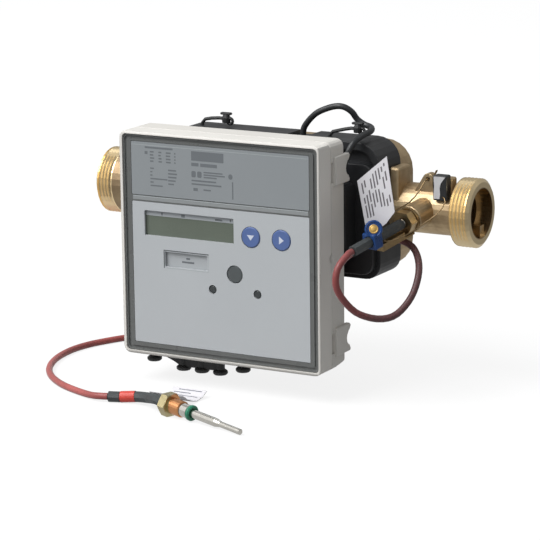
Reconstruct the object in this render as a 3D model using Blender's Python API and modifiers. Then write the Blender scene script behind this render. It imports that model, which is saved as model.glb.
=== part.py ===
"""Ultrasonic heat meter: a calculator box on a threaded brass flow sensor, with its two
temperature sensors, one fitted in the flow sensor's port and one loose on its lead.

Frame: origin at the centre of the inlet's end face, +X along the pipe to the outlet,
-Y towards the calculator's face, +Z up. Everything is in metres.
"""
import math

import bmesh
import bpy
from mathutils import Matrix, Vector

MM = 0.001

# Driving dimensions: clearances
SEAT = 0.3 * MM              # gap between two pieces that touch
HOLE_FIT = 0.35 * MM         # gap all round a piece that sits in a hole

# Driving dimensions: pipe and flow sensor
PIPE_LENGTH = 260 * MM       # face to face, the usual length for this nominal size
THREAD_RADIUS = 20.955 * MM  # pipe thread G 1 1/4, outside
THREAD_DEPTH = 1.3 * MM
THREAD_PITCH = 2.309 * MM
THREAD_TURNS = 4
END_CHAMFER = 1.6 * MM      # length of the bevel at each end
END_INSET = 2.2 * MM        # how far the bevel goes in
PIPE_STEPS = 32              # facets round the pipe
NECK_RADIUS = 15.0 * MM
BORE_RADIUS = 12.0 * MM
ENTRY_RADIUS = 15.2 * MM     # wider bore just inside each end
ENTRY_DEPTH = 9.0 * MM
SHOULDER = 2.4 * MM          # length of the cone from thread to neck
INLET_COLLAR = 12.0 * MM     # smooth collar behind the inlet's thread
CHAMBER_WIDTH = 150 * MM
CHAMBER_HEIGHT = 83 * MM
CHAMBER_CORNER = 18.0 * MM
CHAMBER_TOP = 37.0 * MM      # brass chamber's top, below the cover's
COVER_CORNER = 15.0 * MM
COVER_FOOT_CORNER = 10.0 * MM
CHAMBER_FRONT = 3.0 * MM     # where the brass chamber starts behind the pipe axis
CHAMBER_BACK = 20.0 * MM
SENSOR_SPACING = 96 * MM     # between the two ultrasonic transducers
SENSOR_PORT_RADIUS = 9.5 * MM
SENSOR_SEAT = 20.0 * MM      # the port's flat seat in front of the pipe axis
SENSOR_HOLE_RADIUS = 6.0 * MM
INSERT_WALL = 1.6 * MM
INSERT_LENGTH = 64 * MM
THROAT_RADIUS = 7.5 * MM
REFLECTOR_SIZE = 9.0 * MM

# Driving dimensions: black cover over the chamber
COVER_WALL = 2.5 * MM
COVER_FRONT = 25.0 * MM      # cover's rim in front of the pipe axis
PLATFORM_RISE = 5.0 * MM
PLATFORM_INSET = 3.6 * MM
PLATFORM_SIDE = 2.6 * MM
PLATFORM_CORNER = 7.0 * MM
PLATFORM_TOP = 29.5 * MM
BLOCK_INSET = 14.0 * MM
BLOCK_TOP = 18.0 * MM
SADDLE_FRONT = 43.6 * MM     # front of the cover's block, where the adapter sits
CABLE_NOTCH_X = 144 * MM
CABLE_NOTCH_WIDTH = 14 * MM
CABLE_NOTCH_DEPTH = 2.5 * MM
CABLE_START_Y = -8 * MM

# Driving dimensions: calculator box
BOX_WIDTH = 137 * MM
BOX_HEIGHT = 138 * MM
BOX_DEPTH = 30 * MM
BOX_CENTRE_X = 124.3 * MM
BOX_CENTRE_Z = -21.1 * MM
BOX_CORNER = 4.5 * MM
BOX_WALL = 2.2 * MM
HOOD_DEPTH = 13.7 * MM
ADAPTER_THICKNESS = 4.2 * MM
ADAPTER_WIDTH = 104 * MM
ADAPTER_HEIGHT = 75 * MM
RIM_WIDTH = 1.8 * MM         # light rim seen from the front
BAND_WIDTH = 5.3 * MM        # dark band between rim and panels
PANEL_RECESS = 1.0 * MM      # panels' front below the rim
PANEL_THICKNESS = 1.5 * MM
LABEL_BOTTOM = 98.9 * MM     # above the box's bottom edge
LABEL_TOP = 132.0 * MM
FACE_TOP = 95.4 * MM
FACE_BOTTOM = 7.3 * MM
LCD_LEFT = 16.1 * MM
LCD_WIDTH = 62.1 * MM
LCD_BOTTOM = 74.6 * MM
LCD_HEIGHT = 15.3 * MM
WINDOW_LEFT = 30.1 * MM
WINDOW_WIDTH = 29.7 * MM
WINDOW_BOTTOM = 56.3 * MM
WINDOW_HEIGHT = 9.3 * MM
BUTTON_RADIUS = 6.2 * MM
BUTTON_Z = 79.8 * MM
BUTTON_DOWN_X = 89.9 * MM
BUTTON_RIGHT_X = 110.5 * MM
BUTTON_TRAVEL = 0.8 * MM
LENS_RADIUS = 5.2 * MM
LENS_X = 78.5 * MM
LENS_Z = 56.1 * MM
PLUG_RADIUS = 2.4 * MM
PLUG_SPACING = 30.8 * MM
PLUG_Z = 45.4 * MM
BOARD_DEPTH = 12.0 * MM      # board's front below the rim
BOARD_THICKNESS = 1.6 * MM
CELL_RADIUS = 7.2 * MM
CELL_LENGTH = 50.5 * MM

# Driving dimensions: temperature sensors and leads
PORT_X = 230 * MM            # where the sensor port's axis passes the pipe axis
PORT_RISE = 3.0 * MM
PORT_SWING = 12.0            # degrees towards the inlet
PORT_DIP = 11.0              # degrees below level
PORT_FACE = 26.0 * MM        # boss face from the pipe axis, along the port's axis
PORT_BOSS_RADIUS = 8.2 * MM
HEX_FLATS = 13.0 * MM
HEX_THICKNESS = 5.6 * MM
BARREL_RADIUS = 4.9 * MM
LOOSE_FIT = (9.6 * MM, 5.3 * MM)   # barrel and ferrule lengths of the loose sensor
PORT_FIT = (6.2 * MM, 3.2 * MM)    # the fitted one is shorter, for the port's depth
FERRULE_RADIUS = 4.1 * MM
RING_RADIUS = 4.7 * MM
RING_LENGTH = 2.6 * MM
STEM_RADIUS = 2.6 * MM
TIP_RADIUS = 1.75 * MM
LOOSE_STEM = 40.0 * MM       # from the sealing ring to the tip
PORT_STEM = 23.0 * MM        # shorter, to end before the far wall of the bore
TAIL_RADIUS = 2.2 * MM       # crimped tail of the probe inside its sleeve
TAIL_LENGTH = 8.0 * MM
LEAD_RADIUS = 2.1 * MM
SLEEVE_RADIUS = 3.3 * MM
SLEEVE_LENGTH = 46 * MM
FLOOR_Z = -108 * MM          # what the loose lead lies on
COIL_RADIUS = 23.5 * MM      # middle of the turns of a stored lead
COIL_COLUMNS = 3
PORT_COIL_CENTRE = (112 * MM, 25 * MM)
LOOSE_COIL_CENTRE = (45 * MM, 45 * MM)
CABLE_RADIUS = 1.9 * MM

# Sizes that follow
BOX_LEFT = BOX_CENTRE_X - BOX_WIDTH / 2
BOX_RIGHT = BOX_CENTRE_X + BOX_WIDTH / 2
BOX_BOTTOM = BOX_CENTRE_Z - BOX_HEIGHT / 2
BOX_TOP = BOX_CENTRE_Z + BOX_HEIGHT / 2
BOX_BACK = -(SADDLE_FRONT + SEAT + ADAPTER_THICKNESS + SEAT)
BOX_FRONT = BOX_BACK - BOX_DEPTH
PANEL_EDGE = RIM_WIDTH + BAND_WIDTH + SEAT
PIPE_MIDDLE = PIPE_LENGTH / 2
THREAD_LENGTH = THREAD_TURNS * THREAD_PITCH
CHAMBER_LEFT = PIPE_MIDDLE - CHAMBER_WIDTH / 2
CHAMBER_RIGHT = PIPE_MIDDLE + CHAMBER_WIDTH / 2
LEFT_TIE = (CHAMBER_LEFT + 34.9 * MM, -8.0 * MM, CHAMBER_HEIGHT / 2 + 0.3 * MM)
RIGHT_TIE = (CHAMBER_RIGHT - 21.4 * MM, -12.0 * MM, CHAMBER_HEIGHT / 2 + 1.4 * MM)
LEFT_SOCKET_X = LEFT_TIE[0] - 17.5 * MM
RIGHT_SOCKET_X = RIGHT_TIE[0] - 19.4 * MM
PORT_DIRECTION = Vector((
    -math.sin(math.radians(PORT_SWING)) * math.cos(math.radians(PORT_DIP)),
    -math.cos(math.radians(PORT_SWING)) * math.cos(math.radians(PORT_DIP)),
    -math.sin(math.radians(PORT_DIP))))
PORT_CENTRE = Vector((PORT_X, 0, PORT_RISE))
LUG_HOLE_X = PORT_X - 1.2 * MM
CAP_LEFT = PORT_X + 5.2 * MM
CAP_WIDTH = 9.2 * MM
BRACKET_THICKNESS = 1.2 * MM
PORT_NUT_LEVEL = PORT_FACE + BRACKET_THICKNESS + 2 * SEAT
LOOSE_TIP = Vector((180.4 * MM, -153.0 * MM, FLOOR_Z + TIP_RADIUS))

# Collections
for old in list(bpy.data.objects):
    bpy.data.objects.remove(old, do_unlink=True)
METER = bpy.data.collections.new("heat_meter")
CUTTERS = bpy.data.collections.new("cutters")
bpy.context.scene.collection.children.link(METER)
bpy.context.scene.collection.children.link(CUTTERS)


def finish(name, colour, roughness, metallic=0.0):
    """A material with the piece's colour, roughness and metallic value."""
    material = bpy.data.materials.new(name)
    material.use_nodes = True
    shader = material.node_tree.nodes["Principled BSDF"]
    shader.inputs["Base Color"].default_value = (*colour, 1)
    shader.inputs["Roughness"].default_value = roughness
    shader.inputs["Metallic"].default_value = metallic
    return material


LIGHT_PLASTIC = finish("light_plastic", (0.72, 0.70, 0.67), 0.45)
GREY_BAND = finish("grey_band", (0.11, 0.12, 0.12), 0.35)
LABEL_FOIL = finish("label_foil", (0.28, 0.31, 0.33), 0.4)
PANEL_FOIL = finish("panel_foil", (0.47, 0.50, 0.52), 0.4)
LCD_GLASS = finish("lcd_glass", (0.16, 0.19, 0.14), 0.15)
BLUE_KEY = finish("blue_key", (0.10, 0.18, 0.43), 0.4)
DARK_LENS = finish("dark_lens", (0.12, 0.13, 0.13), 0.2)
BOARD_GREEN = finish("board_green", (0.03, 0.18, 0.07), 0.5)
BLACK_PLASTIC = finish("black_plastic", (0.025, 0.027, 0.03), 0.45)
BLACK_RUBBER = finish("black_rubber", (0.02, 0.022, 0.022), 0.6)
CAST_BRASS = finish("cast_brass", (0.62, 0.43, 0.16), 0.28, 1.0)
OLIVE_BRASS = finish("olive_brass", (0.42, 0.34, 0.10), 0.3, 1.0)
STEEL = finish("steel", (0.60, 0.58, 0.55), 0.25, 1.0)
RED_LEAD = finish("red_lead", (0.40, 0.08, 0.07), 0.5)
RED_BAND = finish("red_band", (0.75, 0.11, 0.07), 0.5)
GREEN_RING = finish("green_ring", (0.02, 0.22, 0.13), 0.5)
BLUE_SEAL = finish("blue_seal", (0.01, 0.05, 0.25), 0.4)
WHITE_TAG = finish("white_tag", (0.75, 0.73, 0.76), 0.6)
SLEEVE_GREY = finish("sleeve_grey", (0.07, 0.075, 0.08), 0.6)
WHITE_SHELL = finish("white_shell", (0.75, 0.75, 0.75), 0.5)


# Building blocks
def settle(obj, material, cutter=False):
    """Put an object in its collection; a cutter is only a guide."""
    (CUTTERS if cutter else METER).objects.link(obj)
    if cutter:
        obj.hide_render = True
        obj.display_type = "WIRE"
    elif material is not None:
        obj.data.materials.clear()
        obj.data.materials.append(material)
    return obj


def block(name, low, high, material, bevel=0.0, segments=2, cutter=False):
    """A box between two corners, with its edges rounded."""
    mesh = bpy.data.meshes.new(name)
    cube = bmesh.new()
    bmesh.ops.create_cube(cube, size=1.0)
    size = [high[axis] - low[axis] for axis in range(3)]
    middle = [(high[axis] + low[axis]) / 2 for axis in range(3)]
    bmesh.ops.scale(cube, vec=size, verts=cube.verts)
    cube.to_mesh(mesh)
    cube.free()
    obj = bpy.data.objects.new(name, mesh)
    obj.location = middle
    if bevel:
        soften(obj, bevel, segments)
    return settle(obj, material, cutter)


def soften(obj, width, segments=2, angle=40):
    """Round the edges sharper than the angle."""
    bevel = obj.modifiers.new("Rounded edges", "BEVEL")
    bevel.width = width
    bevel.segments = segments
    bevel.limit_method = "ANGLE"
    bevel.angle_limit = math.radians(angle)
    return obj


def turned(name, profile, origin, direction, material, steps=32, hollow=False, cutter=False, spin=0):
    """Revolve (radius, height) points, listed down the outer side, about the direction."""
    mesh = bpy.data.meshes.new(name)
    edges = [(i, i + 1) for i in range(len(profile) - 1)]
    if hollow:
        edges.append((len(profile) - 1, 0))
    mesh.from_pydata([(radius, 0, height) for radius, height in profile], edges, [])
    obj = bpy.data.objects.new(name, mesh)
    obj.location = origin
    upright = Vector(direction).to_track_quat("Z", "Y").to_matrix()
    obj.rotation_euler = (upright @ Matrix.Rotation(math.radians(spin), 3, "Z")).to_euler()
    screw = obj.modifiers.new("Revolve", "SCREW")
    screw.steps = steps
    screw.render_steps = steps
    screw.use_merge_vertices = True
    screw.merge_threshold = 0.000001
    return settle(obj, material, cutter)


def solid_rod(radius, low, high, chamfer=0.0):
    """Profile of a plain round rod from low to high."""
    if not chamfer:
        return [(0, high), (radius, high), (radius, low), (0, low)]
    return [(0, high), (radius - chamfer, high), (radius, high - chamfer),
            (radius, low + chamfer), (radius - chamfer, low), (0, low)]


def pipe_profile(outer, inner, low, high):
    """Profile of a plain round tube from low to high."""
    return [(inner, high), (outer, high), (outer, low), (inner, low)]


PLATE_TURN = {"X": Matrix(((0, 0, 1), (1, 0, 0), (0, 1, 0))),
              "Y": Matrix(((1, 0, 0), (0, 0, -1), (0, 1, 0))),
              "Z": Matrix.Identity(3)}


def meshed(obj):
    """The object's evaluated shape as a welded mesh."""
    bpy.context.view_layer.update()
    graph = bpy.context.evaluated_depsgraph_get()
    mesh = bpy.data.meshes.new_from_object(obj.evaluated_get(graph))
    shape = bmesh.new()
    shape.from_mesh(mesh)
    bmesh.ops.remove_doubles(shape, verts=shape.verts, dist=0.000002)
    shape.to_mesh(mesh)
    shape.free()
    return mesh


def plate(name, outlines, low, high, axis, material, cutter=False):
    """A plate between two levels of an axis: a rim outline, then the outlines of its holes.

    Outline points are (y, z) across X, (x, z) across Y and (x, y) across Z.
    """
    curve = bpy.data.curves.new(name + "_outline", "CURVE")
    curve.dimensions = "2D"
    curve.fill_mode = "BOTH"
    curve.extrude = (high - low) / 2
    for outline in outlines:
        spline = curve.splines.new("POLY")
        spline.points.add(len(outline) - 1)
        for point, (across, up) in zip(spline.points, outline):
            point.co = (across, up, 0, 1)
        spline.use_cyclic_u = True
    guide = bpy.data.objects.new(name + "_outline", curve)
    bpy.context.scene.collection.objects.link(guide)
    mesh = meshed(guide)
    obj = bpy.data.objects.new(name, mesh)
    turn = PLATE_TURN[axis].to_4x4()
    level = Vector((0, 0, (low + high) / 2))
    if axis == "Y":
        level = -level
    obj.matrix_world = turn @ Matrix.Translation(level)
    bpy.data.objects.remove(guide, do_unlink=True)
    return settle(obj, material, cutter)


def rounded(x0, z0, x1, z1, radius, steps=4):
    """Corner points of a rectangle with round corners, anticlockwise."""
    points = []
    for cx, cz, start in ((x1 - radius, z0 + radius, -90), (x1 - radius, z1 - radius, 0),
                          (x0 + radius, z1 - radius, 90), (x0 + radius, z0 + radius, 180)):
        for step in range(steps + 1):
            angle = math.radians(start + 90 * step / steps)
            points.append((cx + radius * math.cos(angle), cz + radius * math.sin(angle)))
    return points


def circle(x, z, radius, steps=24):
    """Points of a circle."""
    turns = [2 * math.pi * step / steps for step in range(steps)]
    return [(x + radius * math.cos(a), z + radius * math.sin(a)) for a in turns]


def smooth_route(points, spacing):
    """Points about a spacing apart on a smooth curve through the route's own points."""
    route = [Vector(point) for point in points]
    ends = [2 * route[0] - route[1]] + route + [2 * route[-1] - route[-2]]
    smooth = [route[0]]
    for before, start, end, after in zip(ends, ends[1:], ends[2:], ends[3:]):
        pieces = max(1, round((end - start).length / spacing))
        for piece in range(1, pieces + 1):
            t = piece / pieces
            smooth.append(0.5 * ((2 * start) + (end - before) * t
                                 + (2 * before - 5 * start + 4 * end - after) * t ** 2
                                 + (3 * start - before - 3 * end + after) * t ** 3))
    return smooth


def tube(name, points, radius, material, spacing=None, resolution=2):
    """A round cord or wire along a smooth route."""
    route = smooth_route(points, spacing or 5 * radius)
    curve = bpy.data.curves.new(name, "CURVE")
    curve.dimensions = "3D"
    curve.bevel_depth = radius
    curve.bevel_resolution = resolution
    curve.use_fill_caps = True
    spline = curve.splines.new("POLY")
    spline.points.add(len(route) - 1)
    for point, place in zip(spline.points, route):
        point.co = (*place, 1)
    obj = bpy.data.objects.new(name, curve)
    return settle(obj, material)


def tube_mesh(name, points, radius, material, spacing=None, cutter=False):
    """The same round wire as a mesh, for joining or cutting."""
    guide = tube(name + "_route", points, radius, material, spacing)
    obj = bpy.data.objects.new(name, meshed(guide))
    bpy.data.objects.remove(guide, do_unlink=True)
    return settle(obj, material, cutter)


def cut(obj, *cutters):
    """Take the cutters out of an object."""
    for cutter in cutters:
        boolean = obj.modifiers.new("Cut " + cutter.name, "BOOLEAN")
        boolean.operation = "DIFFERENCE"
        boolean.object = cutter
    return obj


def join(obj, *tools):
    """Make the tools one body with an object."""
    for tool in tools:
        boolean = obj.modifiers.new("Join " + tool.name, "BOOLEAN")
        boolean.operation = "UNION"
        boolean.object = tool
    return obj


def box_x(distance):
    """X of a point measured from the calculator's left edge."""
    return BOX_LEFT + distance


def box_z(distance):
    """Z of a point measured from the calculator's bottom edge."""
    return BOX_BOTTOM + distance


def deep(distance):
    """Y of a point measured back from the calculator's front rim."""
    return BOX_FRONT + distance


def round_hole(name, x, z, radius, front, back, steps=24):
    """A round cutter through a wall that is parallel to the calculator's face."""
    return turned(name, solid_rod(radius, -back, -front), (x, 0, z), (0, -1, 0), None,
                  steps, cutter=True)


# Brass flow sensor
def thread_profile(start, towards):
    """Ridges of a pipe thread from a start height, going one way along the axis."""
    points = []
    for turn in range(THREAD_TURNS):
        foot = start + towards * turn * THREAD_PITCH
        points.append((THREAD_RADIUS - THREAD_DEPTH, foot))
        points.append((THREAD_RADIUS, foot + towards * THREAD_PITCH / 2))
    points.append((THREAD_RADIUS - THREAD_DEPTH, start + towards * THREAD_LENGTH))
    return points


def pipe_outline():
    """The pipe's outer profile, from the outlet's face down to the inlet's face."""
    face_radius = THREAD_RADIUS - END_INSET
    lead_in = END_CHAMFER + 0.4 * MM
    collar = THREAD_RADIUS - 0.9 * MM
    outlet_foot = PIPE_LENGTH - lead_in - THREAD_LENGTH
    inlet_foot = lead_in + THREAD_LENGTH
    shoulder_end = inlet_foot + INLET_COLLAR
    points = [(0, PIPE_LENGTH), (face_radius, PIPE_LENGTH),
              (THREAD_RADIUS, PIPE_LENGTH - END_CHAMFER)]
    points += thread_profile(PIPE_LENGTH - lead_in, -1)
    points += [(THREAD_RADIUS - 0.2 * MM, outlet_foot - 1 * MM),
               (NECK_RADIUS + 2 * MM, outlet_foot - SHOULDER),
               (NECK_RADIUS, outlet_foot - SHOULDER - 0.9 * MM),
               (NECK_RADIUS, shoulder_end + SHOULDER),
               (collar, shoulder_end), (collar, inlet_foot)]
    points += thread_profile(inlet_foot, -1)
    points += [(THREAD_RADIUS, END_CHAMFER), (face_radius, 0), (0, 0)]
    return points


def bore_profile():
    """Cutter for the way through: a wider entry at each end and a smaller bore."""
    over = 2 * MM
    return [(0, PIPE_LENGTH + over), (ENTRY_RADIUS, PIPE_LENGTH + over),
            (ENTRY_RADIUS, PIPE_LENGTH - ENTRY_DEPTH), (BORE_RADIUS, PIPE_LENGTH - ENTRY_DEPTH),
            (BORE_RADIUS, ENTRY_DEPTH), (ENTRY_RADIUS, ENTRY_DEPTH),
            (ENTRY_RADIUS, -over), (0, -over)]


def lug_outline():
    """Side view of the sealing lug on the outlet neck, a triangle with a round top."""
    foot_left, foot_right = PORT_X - 10 * MM, PORT_X + 4 * MM
    foot = NECK_RADIUS - 3 * MM
    top_x, top_z, top_radius = LUG_HOLE_X, NECK_RADIUS + 4.9 * MM, 3.4 * MM
    points = [(foot_left, foot), (foot_right, foot)]
    for degrees in range(0, 151, 25):
        angle = math.radians(degrees)
        points.append((top_x + top_radius * math.cos(angle), top_z + top_radius * math.sin(angle)))
    return points


def sensor_x(side):
    """X of an ultrasonic transducer; side is -1 at the inlet and 1 at the outlet."""
    return PIPE_MIDDLE + side * SENSOR_SPACING / 2


def make_flow_body():
    body = turned("flow_body", pipe_outline(), (0, 0, 0), (1, 0, 0), CAST_BRASS, steps=PIPE_STEPS)
    half = CHAMBER_HEIGHT / 2
    chamber = plate("chamber_tool", [rounded(CHAMBER_LEFT, -half, CHAMBER_RIGHT, CHAMBER_TOP,
                                             CHAMBER_CORNER, 6)],
                    CHAMBER_FRONT, CHAMBER_BACK, "Y", None, cutter=True)
    soften(chamber, 2 * MM)
    foot_block = block("foot_block_tool", (CHAMBER_RIGHT + SEAT, -14 * MM, 5 * MM),
                       (CHAMBER_RIGHT + 7 * MM, CHAMBER_FRONT - SEAT, NECK_RADIUS + 11 * MM),
                       None, bevel=1.5 * MM, cutter=True)
    boss = turned("port_boss_tool", solid_rod(PORT_BOSS_RADIUS, 2 * MM, PORT_FACE, 0.5 * MM),
                  PORT_CENTRE, PORT_DIRECTION, None, 28, cutter=True)
    lug = plate("lug_tool", [lug_outline()], -9 * MM, -3 * MM, "Y", None, cutter=True)
    soften(lug, 0.8 * MM, 1)
    pad = block("seal_pad_tool", (CAP_LEFT - 0.5 * MM, -9.2 * MM, NECK_RADIUS - 5 * MM),
                (CAP_LEFT + CAP_WIDTH + 0.4 * MM, -2 * MM, NECK_RADIUS + 6.5 * MM), None, bevel=0.8 * MM,
                segments=1, cutter=True)
    join(body, chamber, foot_block, boss, lug, pad)
    for side, place in ((-1, "inlet"), (1, "outlet")):
        seat = turned("seat_tool_" + place, solid_rod(SENSOR_PORT_RADIUS, 0, SENSOR_SEAT),
                      (sensor_x(side), 0, 0), (0, -1, 0), None, 28, cutter=True)
        join(body, seat)
        hole = turned("sensor_hole_" + place,
                      solid_rod(SENSOR_HOLE_RADIUS + HOLE_FIT, 0, SENSOR_SEAT + 2 * MM),
                      (sensor_x(side), 0, 0), (0, -1, 0), None, 24, cutter=True)
        cut(body, hole)
    bore = turned("bore_cutter", bore_profile(), (0, 0, 0), (1, 0, 0), None, PIPE_STEPS, cutter=True,
                  spin=3)
    ring_seat = PORT_NUT_LEVEL - sum(PORT_FIT) - RING_LENGTH - 3 * SEAT
    port_hole = turned("port_cutter", [
        (0, PORT_FACE + 2 * MM), (BARREL_RADIUS + HOLE_FIT, PORT_FACE + 2 * MM),
        (BARREL_RADIUS + HOLE_FIT, ring_seat), (STEM_RADIUS + HOLE_FIT, ring_seat),
        (STEM_RADIUS + HOLE_FIT, 0), (0, 0)],
        PORT_CENTRE, PORT_DIRECTION, None, 24, cutter=True, spin=4)
    lug_hole = round_hole("lug_hole", LUG_HOLE_X, NECK_RADIUS + 4.9 * MM, 1.4 * MM,
                          -12 * MM, 0, 12)
    cut(body, bore, port_hole, lug_hole)
    key = block("key_tool", (PIPE_LENGTH - ENTRY_DEPTH - 1 * MM, 3 * MM, -ENTRY_RADIUS),
                (PIPE_LENGTH - 2.5 * MM, 8.5 * MM, -8.5 * MM), None, cutter=True)
    join(body, key)


def make_measuring_parts():
    """Transducers in their ports, their seals, and the insert and reflectors in the bore."""
    for side, place in ((-1, "inlet"), (1, "outlet")):
        centre = (sensor_x(side), 0, 0)
        seal_top = SENSOR_SEAT - SEAT - 5 * MM
        transducer = [(0, SENSOR_SEAT + 5 * MM), (4.5 * MM, SENSOR_SEAT + 5 * MM),
                      (5 * MM, SENSOR_SEAT + 4.5 * MM), (5 * MM, SENSOR_SEAT + 2.5 * MM),
                      (8.4 * MM, SENSOR_SEAT + 2.5 * MM), (8.4 * MM, SENSOR_SEAT + SEAT),
                      (SENSOR_HOLE_RADIUS, SENSOR_SEAT + SEAT), (SENSOR_HOLE_RADIUS, seal_top),
                      (4.2 * MM, seal_top), (4.2 * MM, seal_top - 2.6 * MM),
                      (SENSOR_HOLE_RADIUS, seal_top - 2.6 * MM),
                      (SENSOR_HOLE_RADIUS, BORE_RADIUS - 2.4 * MM), (0, BORE_RADIUS - 2.4 * MM)]
        turned("transducer_" + place, transducer, centre, (0, -1, 0), STEEL, 20)
        turned("transducer_seal_" + place,
               pipe_profile(SENSOR_HOLE_RADIUS, 4.2 * MM + SEAT, seal_top - 2.6 * MM + SEAT,
                            seal_top - SEAT),
               centre, (0, -1, 0), BLACK_RUBBER, 20, hollow=True)
        mirror = block("reflector_" + place, (-REFLECTOR_SIZE / 2, -REFLECTOR_SIZE / 2, -0.7 * MM),
                       (REFLECTOR_SIZE / 2, REFLECTOR_SIZE / 2, 0.7 * MM), STEEL)
        mirror.location = centre
        mirror.rotation_euler = (math.radians(90), 0, math.radians(side * 45))
        post = turned("reflector_post_" + place, solid_rod(1.5 * MM, 1 * MM, BORE_RADIUS - SEAT),
                      (sensor_x(side), 0, 0), (0, 0, -1), None, 12, cutter=True)
        join(mirror, post)
    half = INSERT_LENGTH / 2
    outer = BORE_RADIUS - SEAT
    turned("measuring_tube",
           [(outer - INSERT_WALL, half), (outer, half), (outer, -half), (outer - INSERT_WALL, -half),
            (THROAT_RADIUS, 8 * MM - half), (THROAT_RADIUS, half - 8 * MM)],
           (PIPE_MIDDLE, 0, 0), (1, 0, 0), WHITE_SHELL, 32, hollow=True)


def drum_outline(inset, steps):
    """The cover's outline, with large corners at the top and small ones at the bottom."""
    half = CHAMBER_HEIGHT / 2
    box = (CHAMBER_LEFT + inset, -half + inset, CHAMBER_RIGHT - inset, half - inset)
    top = rounded(*box, COVER_CORNER - inset, steps)
    foot = rounded(*box, COVER_FOOT_CORNER - inset, steps)
    side = steps + 1
    return foot[:side] + top[side:3 * side] + foot[3 * side:]


def make_sensor_cover():
    """The black cover: a drum open at the back, a raised platform and a block for the box."""
    half = CHAMBER_HEIGHT / 2
    back = CHAMBER_FRONT - SEAT
    left, right = CHAMBER_LEFT, CHAMBER_RIGHT
    cover = plate("sensor_cover", [drum_outline(0, 6)], -COVER_FRONT, back, "Y", BLACK_PLASTIC)
    soften(cover, 2.4 * MM)
    rim = 4.5 * MM
    inside_lip = rounded(left + rim, -half + rim, right - rim, half - rim, COVER_CORNER - rim, 5)
    level = PLATFORM_TOP - 12 * MM
    upper_part = [(x, z) for x, z in inside_lip if z > level]
    recess = plate("recess_cutter", [[(right - rim, level)] + upper_part + [(left + rim, level)]],
                   -COVER_FRONT - 1 * MM, -COVER_FRONT + 4.5 * MM, "Y", None, cutter=True)
    cut(cover, recess)
    platform_front = COVER_FRONT + PLATFORM_RISE
    platform = plate("platform_tool",
                     [rounded(left + PLATFORM_SIDE, -half + PLATFORM_INSET, right - PLATFORM_SIDE,
                              PLATFORM_TOP, PLATFORM_CORNER, 4)],
                     -platform_front, -COVER_FRONT + 6 * MM, "Y", None, cutter=True)
    soften(platform, 1.8 * MM)
    saddle = plate("saddle_tool",
                   [rounded(left + BLOCK_INSET, -half + BLOCK_INSET, right - BLOCK_INSET,
                            BLOCK_TOP, 3 * MM, 2)],
                   -SADDLE_FRONT, -COVER_FRONT, "Y", None, cutter=True)
    soften(saddle, 1.2 * MM, 1, 60)
    join(cover, platform, saddle)
    inside = COVER_WALL
    hollow = plate("cover_hollow",
                   [rounded(left + inside, -half + inside, right - inside, half - inside - rim,
                            COVER_CORNER - inside, 5)],
                   -COVER_FRONT + 4.5 * MM + inside, back + 2 * MM, "Y", None, cutter=True)
    saddle_hollow = plate("saddle_hollow",
                          [rounded(left + BLOCK_INSET + inside, -half + BLOCK_INSET + inside,
                                   right - BLOCK_INSET - inside, BLOCK_TOP - inside, 1 * MM, 1)],
                          -SADDLE_FRONT + inside, -COVER_FRONT + 8 * MM, "Y", None, cutter=True)
    passage = turned("neck_passage", solid_rod(NECK_RADIUS + SEAT, left - 3 * MM, right + 3 * MM),
                     (0, 0, 0), (1, 0, 0), None, 36, cutter=True)
    slot_half = NECK_RADIUS + SEAT + 0.15 * MM
    slot = block("neck_slot", (left - 3 * MM, -1 * MM, -slot_half),
                 (right + 3 * MM, back + 1 * MM, slot_half), None, cutter=True)
    notch = block("cable_notch",
                  (CABLE_NOTCH_X - CABLE_NOTCH_WIDTH / 2, -COVER_FRONT + 8 * MM,
                   half - CABLE_NOTCH_DEPTH),
                  (CABLE_NOTCH_X + CABLE_NOTCH_WIDTH / 2, back + 1 * MM, half + 2 * MM),
                  None, cutter=True)
    entry = turned("cable_hole", solid_rod(CABLE_RADIUS + HOLE_FIT, half - 14 * MM, half + 2 * MM),
                   (CABLE_NOTCH_X, CABLE_START_Y, 0), (0, 0, 1), None, 16, cutter=True)
    cut(cover, hollow, saddle_hollow, passage, slot, notch, entry)
    for x, y in ((LEFT_SOCKET_X, LEFT_TIE[1]), (RIGHT_SOCKET_X, RIGHT_TIE[1])):
        cut(cover, turned("tie_socket", solid_rod(1.1 * MM + HOLE_FIT, half - 6 * MM, half + 2 * MM),
                          (x, y, 0), (0, 0, 1), None, 12, cutter=True))


# Calculator box
CLIP_HEIGHT = 17 * MM
CLIP_BOTTOMS = (8.8 * MM, 112 * MM)
CLIP_THICKNESS = 1.6 * MM
LEAD_EXIT_Z = 14.0 * MM
TAPER_START = 16 * MM        # the box's underside rises from here to its back
TAPER_RISE = 4.5 * MM
PORT_LEAD_EXIT_X = 52 * MM
LOOSE_LEAD_EXIT_X = 30 * MM
CABLE_EXIT = (128.0 * MM, 112 * MM)
GROMMET_HOLE = 3.6 * MM


def clip_outline(bottom):
    """Side view of a clip: (y, z) points, two horns pointing back and a round hollow."""
    front, root, tip = deep(HOOD_DEPTH + 3.6 * MM), BOX_BACK + 0.3 * MM, BOX_BACK + 5 * MM
    low, high = box_z(bottom), box_z(bottom + CLIP_HEIGHT)
    horn = 1.8 * MM
    middle, radius = (low + high) / 2, (high - low) / 2 - 2 * horn
    points = [(front, low), (tip - 1 * MM, low), (tip, low + 0.8 * MM), (tip, low + horn)]
    for degrees in range(-75, 76, 25):
        angle = math.radians(degrees)
        points.append((tip - (tip - root) * math.cos(angle), middle + radius * math.sin(angle)))
    return points + [(tip, high - horn), (tip, high - 0.8 * MM), (tip - 1 * MM, high), (front, high)]


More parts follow.
